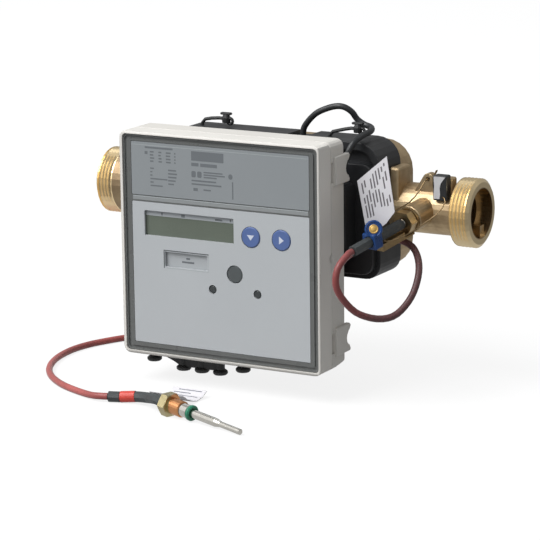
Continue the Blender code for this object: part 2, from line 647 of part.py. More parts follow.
def make_housing_base():
    """The box's base: a tray with a locating lip, board posts, entries and four side clips."""
    back, front = BOX_BACK, deep(HOOD_DEPTH + SEAT)
    wall, corner = BOX_WALL, BOX_CORNER
    base = plate("housing_base", [rounded(BOX_LEFT, BOX_BOTTOM, BOX_RIGHT, BOX_TOP, corner)],
                 front, back, "Y", LIGHT_PLASTIC)
    soften(base, 0.8 * MM, 1, 60)
    lip_edge = wall + SEAT
    lip = plate("lip_tool", [rounded(BOX_LEFT + lip_edge, BOX_BOTTOM + lip_edge,
                                     BOX_RIGHT - lip_edge, BOX_TOP - lip_edge, corner - 2 * MM)],
                front - 3.5 * MM, front + 1 * MM, "Y", None, cutter=True)
    join(base, lip)
    inner = lip_edge + 1.4 * MM
    hollow = plate("base_hollow", [rounded(BOX_LEFT + inner, BOX_BOTTOM + TAPER_RISE + 2.7 * MM,
                                           BOX_RIGHT - inner, BOX_TOP - inner, 1.5 * MM, 2)],
                   front - 6 * MM, back - wall, "Y", None, cutter=True)
    under = BOX_BOTTOM - 2 * MM
    wedge = plate("taper_cut", [[(deep(TAPER_START), BOX_BOTTOM), (deep(TAPER_START), under),
                                 (back + 3 * MM, under), (back + 3 * MM, BOX_BOTTOM + TAPER_RISE)]],
                  BOX_LEFT - 3 * MM, BOX_RIGHT + 3 * MM, "X", None, cutter=True)
    cut(base, hollow, wedge)
    for side, sign, wall_x in (("left", -1, BOX_LEFT), ("right", 1, BOX_RIGHT)):
        for bottom in CLIP_BOTTOMS:
            low, high = sorted((wall_x - sign * 1.5 * MM, wall_x + sign * CLIP_THICKNESS))
            clip = plate(f"clip_{side}_{round(bottom / MM)}", [clip_outline(bottom)], low, high,
                         "X", None, cutter=True)
            soften(clip, 0.4 * MM, 1, 50)
            join(base, clip)
            slot_low, slot_high = sorted((wall_x - sign * 1.2 * MM, wall_x + sign * 1 * MM))
            cut(base, block("clip_slot", (slot_low, front - 1 * MM, box_z(bottom + 1.6 * MM)),
                            (slot_high, front + 2.9 * MM, box_z(bottom + CLIP_HEIGHT - 3 * MM)),
                            None, cutter=True))
    for x in (BOARD_LEFT + 5 * MM, BOARD_RIGHT - 5 * MM):
        for z in (BOARD_BOTTOM + 5 * MM, BOARD_TOP - 5 * MM):
            post = turned("post_tool", solid_rod(2.5 * MM, -back + 1 * MM,
                                                 -deep(BOARD_DEPTH + BOARD_THICKNESS) - SEAT),
                          (x, 0, z), (0, -1, 0), None, 12, cutter=True)
            join(base, post)
    for name, x, z in (("port_entry", PORT_LEAD_EXIT_X, LEAD_EXIT_Z),
                       ("loose_entry", LOOSE_LEAD_EXIT_X, LEAD_EXIT_Z),
                       ("cable_entry", *CABLE_EXIT)):
        cut(base, round_hole(name, box_x(x), box_z(z), GROMMET_HOLE + SEAT, back - 6 * MM,
                             back + 2 * MM, 20))
    for x in PLUG_XS:
        cut(base, turned("plug_hole", solid_rod(PLUG_NECK + SEAT, -2 * MM, 8 * MM),
                         (box_x(x), deep(PLUG_ROW), BOX_BOTTOM), (0, 0, 1), None, 16, cutter=True))


BOARD_LEFT = box_x(11 * MM)
BOARD_RIGHT = box_x(BOX_WIDTH - 11 * MM)
BOARD_BOTTOM = box_z(38 * MM)
BOARD_TOP = box_z(97 * MM)
PLUG_ROW = 19 * MM           # rubber plugs' row behind the front rim
PLUG_NECK = 2.8 * MM
PLUG_REACH = 5.2 * MM        # neck of the outer plugs below the box
GROUP_REACH = 8.8 * MM       # and of the group in the middle
PLUG_XS = (10 * MM, 31 * MM, 44 * MM, 57 * MM, 73 * MM)
HOOD_LEDGE = 2.9 * MM        # the hood's inner flange, below the rim


def make_front_hood():
    """The hood: a deep frame with a light rim and an inner flange under band and panels."""
    hood = plate("front_hood", [rounded(BOX_LEFT, BOX_BOTTOM, BOX_RIGHT, BOX_TOP, BOX_CORNER)],
                 BOX_FRONT, deep(HOOD_DEPTH), "Y", LIGHT_PLASTIC)
    soften(hood, 1.1 * MM, 2, 60)
    rim = RIM_WIDTH
    mouth = plate("hood_mouth", [rounded(BOX_LEFT + rim, BOX_BOTTOM + rim, BOX_RIGHT - rim,
                                         BOX_TOP - rim, BOX_CORNER - rim)],
                  BOX_FRONT - 2 * MM, deep(HOOD_LEDGE), "Y", None, cutter=True)
    flange = PANEL_EDGE + 2.2 * MM
    window = plate("hood_window", [rounded(BOX_LEFT + flange, BOX_BOTTOM + flange,
                                           BOX_RIGHT - flange, BOX_TOP - flange, 1 * MM, 2)],
                   BOX_FRONT, deep(HOOD_DEPTH + 2 * MM), "Y", None, cutter=True)
    inner = BOX_WALL
    hollow = plate("hood_hollow", [rounded(BOX_LEFT + inner, BOX_BOTTOM + inner,
                                           BOX_RIGHT - inner, BOX_TOP - inner, 2.3 * MM, 3)],
                   deep(HOOD_LEDGE + 1.8 * MM), deep(HOOD_DEPTH + 2 * MM), "Y", None, cutter=True)
    cut(hood, mouth, window, hollow)


def make_front_panels():
    """Dark band with its crossbar, upper label, lower face and what sits in its openings."""
    edge, band = RIM_WIDTH + SEAT, PANEL_EDGE
    band_back = deep(HOOD_LEDGE - SEAT)
    panel_left, panel_right = BOX_LEFT + band, BOX_RIGHT - band
    openings = [rounded(panel_left, box_z(low), panel_right, box_z(high), 0.5 * MM, 1)
                for low, high in ((FACE_BOTTOM, FACE_TOP), (LABEL_BOTTOM, LABEL_TOP))]
    ring = plate("band_frame",
                 [rounded(BOX_LEFT + edge, BOX_BOTTOM + edge, BOX_RIGHT - edge, BOX_TOP - edge,
                          BOX_CORNER - edge)] + openings,
                 deep(1.0 * MM), band_back, "Y", GREY_BAND)
    step = 2.2 * MM
    groove = plate("band_groove",
                   [rounded(BOX_LEFT + edge + 1.0 * MM, BOX_BOTTOM + edge + 1.0 * MM,
                            BOX_RIGHT - edge - 1.0 * MM, BOX_TOP - edge - 1.0 * MM, 2 * MM),
                    rounded(BOX_LEFT + edge + step + 0.6 * MM, BOX_BOTTOM + edge + step + 0.6 * MM,
                            BOX_RIGHT - edge - step - 0.6 * MM, BOX_TOP - edge - step - 0.6 * MM,
                            1 * MM)],
                   deep(0), deep(1.8 * MM), "Y", None, cutter=True)
    cut(ring, groove)
    gap = SEAT
    front, back = deep(PANEL_RECESS), deep(PANEL_RECESS + PANEL_THICKNESS)
    plate("label_panel", [rounded(panel_left + gap, box_z(LABEL_BOTTOM) + gap, panel_right - gap,
                                  box_z(LABEL_TOP) - gap, 0.5 * MM, 1)],
          front, back, "Y", LABEL_FOIL)
    lcd = (box_x(LCD_LEFT), box_z(LCD_BOTTOM), box_x(LCD_LEFT + LCD_WIDTH),
           box_z(LCD_BOTTOM + LCD_HEIGHT))
    window = (box_x(WINDOW_LEFT), box_z(WINDOW_BOTTOM), box_x(WINDOW_LEFT + WINDOW_WIDTH),
              box_z(WINDOW_BOTTOM + WINDOW_HEIGHT))
    holes = [rounded(*lcd, 0.4 * MM, 1), rounded(*window, 0.4 * MM, 1)]
    for x in (BUTTON_DOWN_X, BUTTON_RIGHT_X):
        holes.append(circle(box_x(x), box_z(BUTTON_Z), BUTTON_RADIUS + HOLE_FIT))
    holes.append(circle(box_x(LENS_X), box_z(LENS_Z), LENS_RADIUS + HOLE_FIT, 20))
    for x in (LENS_X - PLUG_SPACING / 2, LENS_X + PLUG_SPACING / 2):
        holes.append(circle(box_x(x), box_z(PLUG_Z), PLUG_RADIUS + HOLE_FIT, 16))
    plate("face_panel", [rounded(panel_left + gap, box_z(FACE_BOTTOM) + gap, panel_right - gap,
                                 box_z(FACE_TOP) - gap, 0.5 * MM, 1)] + holes,
          front, back, "Y", PANEL_FOIL)
    glass_front = PANEL_RECESS + PANEL_THICKNESS + SEAT
    block("lcd_glass", (lcd[0] - 2 * MM, deep(glass_front), lcd[1] - 2 * MM),
          (lcd[2] + 2 * MM, deep(glass_front + 2 * MM), lcd[3] + 2 * MM), LCD_GLASS, 0.3 * MM, 1)
    carrier_front = glass_front + 2 * MM + SEAT
    plate("lcd_carrier",
          [rounded(lcd[0] - 2.5 * MM, lcd[1] - 2.5 * MM, lcd[2] + 2.5 * MM, lcd[3] + 2.5 * MM,
                   1 * MM, 1),
           rounded(lcd[0] + 1 * MM, lcd[1] + 1 * MM, lcd[2] - 1 * MM, lcd[3] - 1 * MM, 0.5 * MM, 1)],
          deep(carrier_front), deep(BOARD_DEPTH - SEAT), "Y", WHITE_SHELL)
    block("window_plate", (window[0] - 1.5 * MM, deep(glass_front), window[1] - 1.5 * MM),
          (window[2] + 1.5 * MM, deep(glass_front + 1.2 * MM), window[3] + 1.5 * MM),
          WHITE_SHELL, 0.3 * MM, 1)


def key_profile(radius, length, flange, flange_at):
    """A round cap with a chamfered front and a retaining flange behind the panel."""
    return [(0, 0), (radius - 0.5 * MM, 0), (radius, -0.5 * MM), (radius, -flange_at),
            (radius + flange, -flange_at), (radius + flange, -flange_at - 0.8 * MM),
            (1.8 * MM, -flange_at - 0.8 * MM), (1.8 * MM, -length), (0, -length)]


def make_front_controls():
    """Two keys with their switches, the optical port's lens and the two small plugs."""
    key_front = PANEL_RECESS - 0.4 * MM
    flange_at = PANEL_RECESS + PANEL_THICKNESS + SEAT - key_front
    switch_height = 3.4 * MM
    reach = BOARD_DEPTH - SEAT - switch_height - BUTTON_TRAVEL - SEAT / 2 - key_front
    for place, x in (("down", BUTTON_DOWN_X), ("right", BUTTON_RIGHT_X)):
        turned("button_" + place, key_profile(BUTTON_RADIUS, reach, 1.2 * MM, flange_at),
               (box_x(x), deep(key_front), box_z(BUTTON_Z)), (0, -1, 0), BLUE_KEY, 24)
        switch = block("switch_" + place,
                       (box_x(x) - 3 * MM, deep(BOARD_DEPTH - SEAT - 2 * MM), box_z(BUTTON_Z) - 3 * MM),
                       (box_x(x) + 3 * MM, deep(BOARD_DEPTH - SEAT), box_z(BUTTON_Z) + 3 * MM),
                       BLACK_PLASTIC)
        pip = turned("switch_pip_" + place, solid_rod(1.6 * MM, 1 * MM, switch_height),
                     (box_x(x), deep(BOARD_DEPTH - SEAT), box_z(BUTTON_Z)), (0, -1, 0), None, 16,
                     cutter=True)
        join(switch, pip)
    lens_front = PANEL_RECESS + 0.1 * MM
    lens_length = BOARD_DEPTH - SEAT - lens_front
    turned("optical_lens", key_profile(LENS_RADIUS, lens_length, 1.0 * MM,
                                       PANEL_RECESS + PANEL_THICKNESS + SEAT - lens_front),
           (box_x(LENS_X), deep(lens_front), box_z(LENS_Z)), (0, -1, 0), DARK_LENS, 20)
    for place, side in (("left", -1), ("right", 1)):
        turned("plug_" + place, key_profile(PLUG_RADIUS, lens_length, 0.8 * MM,
                                            PANEL_RECESS + PANEL_THICKNESS + SEAT - lens_front),
               (box_x(LENS_X + side * PLUG_SPACING / 2), deep(lens_front), box_z(PLUG_Z)),
               (0, -1, 0), DARK_LENS, 16)


def make_inside():
    """Circuit board, battery pack, terminal block and plug-in module."""
    block("circuit_board", (BOARD_LEFT, deep(BOARD_DEPTH), BOARD_BOTTOM),
          (BOARD_RIGHT, deep(BOARD_DEPTH + BOARD_THICKNESS), BOARD_TOP), BOARD_GREEN)
    floor = BOX_BACK - BOX_WALL - SEAT
    cell_y = floor - CELL_RADIUS
    cell_z = BOARD_BOTTOM - CELL_RADIUS - 1.8 * MM
    cell_x = box_x(BOX_WIDTH - 20 * MM) - CELL_LENGTH
    pack = turned("battery_pack", solid_rod(CELL_RADIUS, 0, CELL_LENGTH, 0.6 * MM),
                  (cell_x, cell_y, cell_z), (1, 0, 0), LABEL_FOIL, 20)
    second = turned("second_cell", solid_rod(CELL_RADIUS, 0, CELL_LENGTH, 0.6 * MM),
                    (cell_x, cell_y, cell_z - 2 * CELL_RADIUS + 0.6 * MM), (1, 0, 0), None, 20,
                    cutter=True)
    join(pack, second)
    terminal = block("terminal_block", (box_x(14 * MM), floor - 9 * MM, box_z(18 * MM)),
                     (box_x(56 * MM), floor, box_z(29 * MM)), BLACK_PLASTIC, 0.5 * MM, 1)
    for pole in range(6):
        x = box_x(18 * MM + pole * 6.8 * MM)
        cut(terminal, round_hole(f"terminal_{pole}", x, box_z(24 * MM), 1.6 * MM,
                                 floor - 10 * MM, floor - 6 * MM, 10))
    module = block("comm_module", (box_x(20 * MM), floor - 6 * MM, box_z(101 * MM)),
                   (box_x(74 * MM), floor - 4.4 * MM, box_z(127 * MM)), BOARD_GREEN)
    header = block("module_header", (box_x(24 * MM), floor - 5 * MM, box_z(103 * MM)),
                   (box_x(64 * MM), floor, box_z(108 * MM)), None, cutter=True)
    join(module, header)


def mushroom(name, x, y, top, neck, cutter):
    """A rubber plug: a neck through the wall and a round head below it."""
    head = 4.6 * MM
    end = top - neck
    profile = [(0, top + 1.5 * MM), (PLUG_NECK, top + 1.5 * MM), (PLUG_NECK, end),
               (head - 0.6 * MM, end - 0.8 * MM), (head, end - 1.4 * MM), (head, end - 2.6 * MM),
               (head - 0.7 * MM, end - 3.4 * MM), (0, end - 3.7 * MM)]
    return turned(name, profile, (x, y, 0), (0, 0, 1), None if cutter else BLACK_RUBBER, 14,
                  cutter=cutter)


def make_rubber():
    """Rubber plugs under the box and the three lead grommets in its back."""
    y = deep(PLUG_ROW)
    strip = mushroom("plug_strip", box_x(PLUG_XS[0]), y, BOX_BOTTOM, PLUG_REACH, False)
    for number, x in enumerate(PLUG_XS[1:-1]):
        join(strip, mushroom(f"strip_plug_{number}", box_x(x), y, BOX_BOTTOM, GROUP_REACH, True))
    left, right = box_x(PLUG_XS[0]), box_x(PLUG_XS[3])
    top, low = BOX_BOTTOM - 0.5 * MM, BOX_BOTTOM - GROUP_REACH - 1 * MM
    sag = [(left + 20 * MM * share, top - 3.2 * MM + (low - top + 3.2 * MM) * share ** 2)
           for share in (0, 0.25, 0.5, 0.75, 1)]
    arch = [(left - 1.5 * MM, top), (left - 1.5 * MM, top - 3.2 * MM)] + sag
    arch += [(right + 1.5 * MM, low), (right + 1.5 * MM, top)]
    join(strip, plate("web_tool", [arch], y - 1.8 * MM, y + 1.8 * MM, "Y", None, cutter=True))
    mushroom("plug_single", box_x(PLUG_XS[-1]), y, BOX_BOTTOM, PLUG_REACH, False)
    for name, x, z, lead in (("grommet_port_lead", PORT_LEAD_EXIT_X, LEAD_EXIT_Z, LEAD_RADIUS),
                             ("grommet_loose_lead", LOOSE_LEAD_EXIT_X, LEAD_EXIT_Z, LEAD_RADIUS),
                             ("grommet_control", *CABLE_EXIT, CABLE_RADIUS)):
        profile = [(lead, 3.2 * MM), (lead + 1.0 * MM, 3.2 * MM), (GROMMET_HOLE + 1.2 * MM, 1.6 * MM),
                   (GROMMET_HOLE + 1.2 * MM, SEAT), (GROMMET_HOLE, SEAT),
                   (GROMMET_HOLE, -BOX_WALL - 1 * MM), (lead, -BOX_WALL - 1 * MM)]
        profile = [(radius + (SEAT if radius == lead else 0), height) for radius, height in profile]
        turned(name, profile, (box_x(x), BOX_BACK, box_z(z)), (0, 1, 0), BLACK_RUBBER, 20, hollow=True)


def make_adapter():
    """The black plate between box and cover, and the small round seal on the hood's seam."""
    middle_x = (CHAMBER_LEFT + CHAMBER_RIGHT) / 2 - 6 * MM
    middle_z = -8 * MM
    adapter = plate("adapter_plate",
                    [rounded(middle_x - ADAPTER_WIDTH / 2, middle_z - ADAPTER_HEIGHT / 2,
                             middle_x + ADAPTER_WIDTH / 2, middle_z + ADAPTER_HEIGHT / 2, 5 * MM, 3)],
                    BOX_BACK + SEAT, -SADDLE_FRONT - SEAT, "Y", BLACK_PLASTIC)
    soften(adapter, 0.8 * MM, 1, 60)
    turned("hood_seal", [(0, 1.3 * MM), (1.6 * MM, 1.0 * MM), (2.4 * MM, 0.2 * MM + SEAT),
                         (2.4 * MM, SEAT), (0, SEAT)],
           (BOX_RIGHT, deep(HOOD_DEPTH + SEAT / 2), box_z(69 * MM)), (1, 0, 0), LIGHT_PLASTIC, 16)


# Temperature sensors
def gland_nut(name, face, direction, barrel_length, material):
    """Hexagon and barrel in one piece, free to turn on the probe; face is under the hexagon."""
    barrel = [(0, 0.5 * MM), (BARREL_RADIUS, 0.5 * MM), (BARREL_RADIUS, -barrel_length + 0.6 * MM),
              (BARREL_RADIUS - 0.6 * MM, -barrel_length), (0, -barrel_length)]
    nut = turned(name, barrel, face, direction, material, 24)
    corner = HEX_FLATS / 2 / math.cos(math.radians(30))
    over, shallow, chamfer = 1 * MM, 0.7 * MM, 1.0 * MM
    hexagon = turned(name + "_hexagon", solid_rod(corner, 0, HEX_THICKNESS), face, direction, None, 6,
                     cutter=True)
    trim = turned(name + "_chamfer",
                  [(0, HEX_THICKNESS + over), (corner - chamfer, HEX_THICKNESS + over),
                   (corner - chamfer, HEX_THICKNESS + 0.01 * MM), (corner + chamfer, HEX_THICKNESS - shallow),
                   (corner + chamfer, shallow), (corner - chamfer, -0.01 * MM), (corner - chamfer, -over),
                   (0, -over)],
                  face, direction, None, 24, cutter=True, spin=7.5)
    rounding = hexagon.modifiers.new("Chamfer", "BOOLEAN")
    rounding.operation = "INTERSECT"
    rounding.object = trim
    join(nut, hexagon)
    bore = solid_rod(STEM_RADIUS + HOLE_FIT, -barrel_length - 2 * MM, HEX_THICKNESS + 2 * MM)
    return cut(nut, turned(name + "_bore", bore, face, direction, None, 24, cutter=True, spin=5))


def probe(name, face, direction, fit, stem, material):
    """Steel sensor: crimped tail, long tube through the nut, ferrule collar, stem and tip."""
    ferrule_top = -fit[0] - SEAT
    ring_top = ferrule_top - fit[1]
    stem_top = ring_top - RING_LENGTH - 2 * SEAT
    taper = stem_top - 0.48 * stem
    tail_foot = HEX_THICKNESS + SEAT
    return turned(name, [(0, tail_foot + TAIL_LENGTH), (TAIL_RADIUS - 0.3 * MM, tail_foot + TAIL_LENGTH),
                         (TAIL_RADIUS, tail_foot + TAIL_LENGTH - 0.3 * MM),
                         (TAIL_RADIUS, tail_foot + 1 * MM), (STEM_RADIUS, tail_foot),
                         (STEM_RADIUS, ferrule_top), (FERRULE_RADIUS, ferrule_top),
                         (FERRULE_RADIUS, ring_top), (STEM_RADIUS, ring_top), (STEM_RADIUS, taper),
                         (TIP_RADIUS, taper - 0.1 * stem), (TIP_RADIUS, stem_top - stem + 0.4 * MM),
                         (TIP_RADIUS - 0.4 * MM, stem_top - stem), (0, stem_top - stem)],
                  face, direction, material, 20)


def sealing_ring(name, face, direction, fit, material):
    """Sealing ring in front of the probe's ferrule."""
    top = -sum(fit) - 2 * SEAT
    bottom = top - RING_LENGTH
    soft = 0.6 * MM
    bore = STEM_RADIUS + SEAT
    return turned(name, [(bore, top - soft / 2), (bore + soft, top), (RING_RADIUS - soft, top),
                         (RING_RADIUS, top - soft), (RING_RADIUS, bottom + soft),
                         (RING_RADIUS - soft, bottom), (bore + soft, bottom), (bore, bottom + soft / 2)],
                  face, direction, material, 24, hollow=True)


PORT_NUT_FACE = PORT_CENTRE + PORT_DIRECTION * PORT_NUT_LEVEL
LOOSE_REACH = sum(LOOSE_FIT) + RING_LENGTH + 3 * SEAT + LOOSE_STEM
LOOSE_TURN = math.radians(17.1)
LOOSE_RISE = (HEX_FLATS / 2 - TIP_RADIUS) / (LOOSE_REACH + HEX_THICKNESS / 2)
LOOSE_DIRECTION = Vector((-math.cos(LOOSE_TURN), math.sin(LOOSE_TURN), LOOSE_RISE)).normalized()
LOOSE_NUT_FACE = LOOSE_TIP + LOOSE_DIRECTION * LOOSE_REACH + Vector((0, 0, 0.25 * MM))


def make_port_sensor():
    """The sensor in the flow sensor's port, its bracket, sleeve, wire seal and paper tag."""
    sealing_ring("port_ring", PORT_NUT_FACE, PORT_DIRECTION, PORT_FIT, BLACK_RUBBER)
    gland_nut("port_nut", PORT_NUT_FACE, PORT_DIRECTION, PORT_FIT[0], CAST_BRASS)
    probe("port_probe", PORT_NUT_FACE, PORT_DIRECTION, PORT_FIT, PORT_STEM, STEEL)
    sleeve_start = PORT_NUT_FACE + PORT_DIRECTION * (HEX_THICKNESS + SEAT + 1 * MM)
    route = [sleeve_start + PORT_DIRECTION * (SLEEVE_LENGTH * step / 4) for step in range(5)]
    cover = tube_mesh("port_sleeve", route, SLEEVE_RADIUS, SLEEVE_GREY, 12 * MM)
    socket = turned("port_sleeve_socket", solid_rod(TAIL_RADIUS + SEAT, 0, HEX_THICKNESS + TAIL_LENGTH + 2 * SEAT),
                    PORT_NUT_FACE, PORT_DIRECTION, None, 20, cutter=True)
    cut(cover, socket)
    return route


PORT_SLEEVE_END = PORT_NUT_FACE + PORT_DIRECTION * (HEX_THICKNESS + SEAT + 1 * MM + SLEEVE_LENGTH)


def port_frame():
    """Unit vectors across the port's axis: level, and upwards."""
    level = PORT_DIRECTION.cross(Vector((0, 0, 1))).normalized()
    upward = level.cross(PORT_DIRECTION).normalized()
    return level, upward


def make_seal_bracket():
    """A washer under the port's nut with a strip that runs back under the sleeve."""
    thickness = BRACKET_THICKNESS
    level, upward = port_frame()
    origin = PORT_CENTRE + PORT_DIRECTION * (PORT_FACE + SEAT)
    eye = turned("seal_bracket", pipe_profile(7.4 * MM, BARREL_RADIUS + SEAT, 0, thickness),
                 origin, PORT_DIRECTION, CAST_BRASS, 24, hollow=True)
    turn = Matrix((level, upward, PORT_DIRECTION)).transposed().to_4x4()
    drop = HEX_FLATS / 2 / math.cos(math.radians(30)) + SEAT
    leg = block("bracket_leg", (-2.6 * MM, -drop - thickness, 0), (2.6 * MM, -6.2 * MM, thickness), None,
                cutter=True)
    strip = block("bracket_strip", (-2.6 * MM, -drop - thickness, 0), (2.6 * MM, -drop, 30 * MM), None,
                  cutter=True)
    rest = block("bracket_rest", (-2.6 * MM, -drop - thickness, 9 * MM), (2.6 * MM, -4.6 * MM, 30 * MM),
                 None, cutter=True)
    for piece in (leg, strip, rest):
        centre = Vector(piece.location)
        piece.matrix_world = Matrix.Translation(origin) @ turn @ Matrix.Translation(centre)
    join(eye, leg, strip, rest)


WIRE_RADIUS = 0.4 * MM
CAP_BORE_START = Vector((235.2, -12.2, 13.9)) * MM   # the wire's bore through the seal cap
CAP_BORE_DIRECTION = Vector((7.8, -3.9, -3.5)).normalized()
WIRE_ROUTE = ((216.65, -55.25, -2.5), (216.9, -52.5, 0.4), (218.6, -44.0, 3.8), (222.2, -34.0, 6.0),
              (224.8, -25.5, 8.4), (227.0, -17.5, 13.6), (228.5, -12.6, 18.8), (228.8, -9.6, 19.9),
              (228.8, -2.6, 19.9), (229.8, -0.6, 21.6), (231.4, -1.6, 24.0), (232.8, -6.0, 24.6),
              (233.4, -10.4, 22.2), (233.2, -11.0, 18.0), (233.6, -11.4, 15.4), (235.2, -12.2, 13.9),
              (239.1, -14.15, 12.15), (243.0, -16.1, 10.4), (244.2, -17.4, 8.4), (243.2, -19.2, 5.4),
              (240.2, -21.8, 1.4), (235.5, -26.0, -2.8), (230.2, -33.9, -7.6), (226.0, -43.0, -10.2),
              (223.3, -52.0, -10.4), (222.4, -55.2, -9.4))
SEAL_START = 58 * MM         # the wire seal's place on the sleeve, from the port's centre
SEAL_LENGTH = 7.4 * MM
SEAL_HALF = 4.8 * MM
SEAL_FACE = Vector((218.3, -60.0, -2.0)) * MM
SEAL_FACING = Vector((0.477, -0.851, 0.220))


def make_wire_seal():
    """The seal clamped on the sleeve, with its round face, and its wire through lug and cap."""
    level, upward = port_frame()
    turn = Matrix((-level, upward, PORT_DIRECTION)).transposed().to_4x4()
    start = PORT_CENTRE + PORT_DIRECTION * SEAL_START
    seal = block("wire_seal", (-SEAL_HALF, -SEAL_HALF, 0), (SEAL_HALF, SEAL_HALF, SEAL_LENGTH),
                 BLUE_SEAL, bevel=0.9 * MM, segments=2)
    seal.matrix_world = Matrix.Translation(start) @ turn @ Matrix.Translation(Vector(seal.location))
    face = turned("seal_face", [(0, 2.2 * MM), (3.9 * MM, 2.2 * MM), (4.4 * MM, 2.7 * MM),
                                (5.0 * MM, 2.5 * MM), (5.3 * MM, 1.9 * MM), (5.3 * MM, -2.4 * MM),
                                (0, -2.4 * MM)],
                  SEAL_FACE, SEAL_FACING, None, 24, cutter=True)
    join(seal, face)
    bore = turned("seal_bore", solid_rod(SLEEVE_RADIUS + SEAT, -3 * MM, SEAL_LENGTH + 3 * MM),
                  start, PORT_DIRECTION, None, 20, cutter=True)
    cut(seal, bore)
    route = [Vector(point) * MM for point in WIRE_ROUTE]
    tube("seal_wire", route, WIRE_RADIUS, STEEL, 5 * MM, 1)


TAG_THICKNESS = 0.4 * MM
TAG_LEVEL = -52.5 * MM       # the port tag stands beside the seal here
TAG_HOLE = (216.9, 0.4)      # the wire passes through it here
TAG_CORNERS = ((223.3, 40.4), (203.9, 24.2), (209.6, -3.9), (219.0, -2.6), (223.0, 0.6), (228.4, 7.8))


def make_port_tag():
    """Paper tag threaded on the seal's wire just behind the seal."""
    outline = [(x * MM, z * MM) for x, z in TAG_CORNERS]
    hole = circle(TAG_HOLE[0] * MM, TAG_HOLE[1] * MM, WIRE_RADIUS + 0.8 * MM, 12)
    plate("port_tag", [outline, hole], TAG_LEVEL - TAG_THICKNESS / 2,
          TAG_LEVEL + TAG_THICKNESS / 2, "Y", WHITE_TAG)


def make_seal_cap():
    """Black sealing cap in front of its pad on the outlet neck, hollowed to fit the neck."""
    cap = block("seal_cap", (CAP_LEFT, -16.0 * MM, 8.6 * MM),
                (CAP_LEFT + CAP_WIDTH, -9.2 * MM - SEAT, NECK_RADIUS + 9 * MM), BLACK_PLASTIC,
                bevel=1.0 * MM, segments=2)
    saddle = turned("cap_saddle", solid_rod(NECK_RADIUS + SEAT, PORT_X - 5 * MM, PORT_X + 20 * MM),
                    (0, 0, 0), (1, 0, 0), None, 36, cutter=True)
    boss = turned("cap_boss_cut", solid_rod(PORT_BOSS_RADIUS + SEAT, 0, PORT_FACE), PORT_CENTRE,
                  PORT_DIRECTION, None, 28, cutter=True)
    bore = turned("cap_bore", solid_rod(WIRE_RADIUS + SEAT, -3 * MM, 12 * MM), CAP_BORE_START,
                  CAP_BORE_DIRECTION, None, 12, cutter=True)
    cut(cap, saddle, boss, bore)


def loose_sleeve_route():
    """Route of the loose sensor's sleeve, from its nut back to the lead."""
    start = LOOSE_NUT_FACE + LOOSE_DIRECTION * (HEX_THICKNESS + SEAT + 1 * MM)
    return [start, start + LOOSE_DIRECTION * 7 * MM,
            Vector((101.0 * MM, -123.6 * MM, FLOOR_Z + 5.2 * MM)),
            Vector((90.0 * MM, -121.9 * MM, FLOOR_Z + 4.2 * MM)),
            Vector((80.5 * MM, -124.2 * MM, FLOOR_Z + SLEEVE_RADIUS + 0.1 * MM)),
            Vector((74.4 * MM, -126.2 * MM, FLOOR_Z + SLEEVE_RADIUS + 0.1 * MM))]


def make_loose_sensor():
    """The sensor on the loose lead, its sleeve, red marking band and paper tag."""
    gland_nut("loose_nut", LOOSE_NUT_FACE, LOOSE_DIRECTION, LOOSE_FIT[0], OLIVE_BRASS)
    probe("loose_probe", LOOSE_NUT_FACE, LOOSE_DIRECTION, LOOSE_FIT, LOOSE_STEM, STEEL)
    sealing_ring("loose_ring", LOOSE_NUT_FACE, LOOSE_DIRECTION, LOOSE_FIT, GREEN_RING)
    route = loose_sleeve_route()
    cover = tube_mesh("loose_sleeve", route, SLEEVE_RADIUS, SLEEVE_GREY, 7 * MM)
    socket = turned("loose_sleeve_socket",
                    solid_rod(TAIL_RADIUS + SEAT, 0, HEX_THICKNESS + TAIL_LENGTH + 2 * SEAT),
                    LOOSE_NUT_FACE, LOOSE_DIRECTION, None, 20, cutter=True)
    smooth = smooth_route(route, 2 * MM)
    band_at = min(range(len(smooth)), key=lambda i: abs(smooth[i].x - 86 * MM))
    band_axis = (smooth[band_at + 2] - smooth[band_at - 2]).normalized()
    waist = turned("band_waist", pipe_profile(6 * MM, SLEEVE_RADIUS - 0.5 * MM, -4.9 * MM, 4.9 * MM),
                   smooth[band_at], band_axis, None, 20, hollow=True, cutter=True)
    cut(cover, socket, waist)
    turned("loose_band", pipe_profile(SLEEVE_RADIUS + 0.15 * MM, SLEEVE_RADIUS - 0.5 * MM + SEAT,
                                      -4.6 * MM, 4.6 * MM),
           smooth[band_at], band_axis, RED_BAND, 20, hollow=True)


def make_loose_tag():
    """Curled paper tag that lies behind the loose sensor."""
    thickness = TAG_THICKNESS
    curl = [(-119.9, 7.7), (-115.0, 4.6), (-109.0, 1.8), (-103.0, 0.5), (-97.0, 1.4), (-91.5, 3.8)]
    upper = [(y * MM, FLOOR_Z + z * MM + thickness) for y, z in curl]
    under = [(y * MM, FLOOR_Z + z * MM) for y, z in reversed(curl)]
    plate("loose_tag", [upper + under], 99 * MM, 122 * MM, "X", WHITE_TAG)


# Leads and cable
def coil(name, centre):
    """Outer shape of a stored lead: its turns side by side and on each other."""
    half = COIL_COLUMNS * LEAD_RADIUS
    turned(name, pipe_profile(COIL_RADIUS + half, COIL_RADIUS - half, 0, 2 * half),
           (*centre, FLOOR_Z), (0, 0, 1), RED_LEAD, 32, hollow=True)


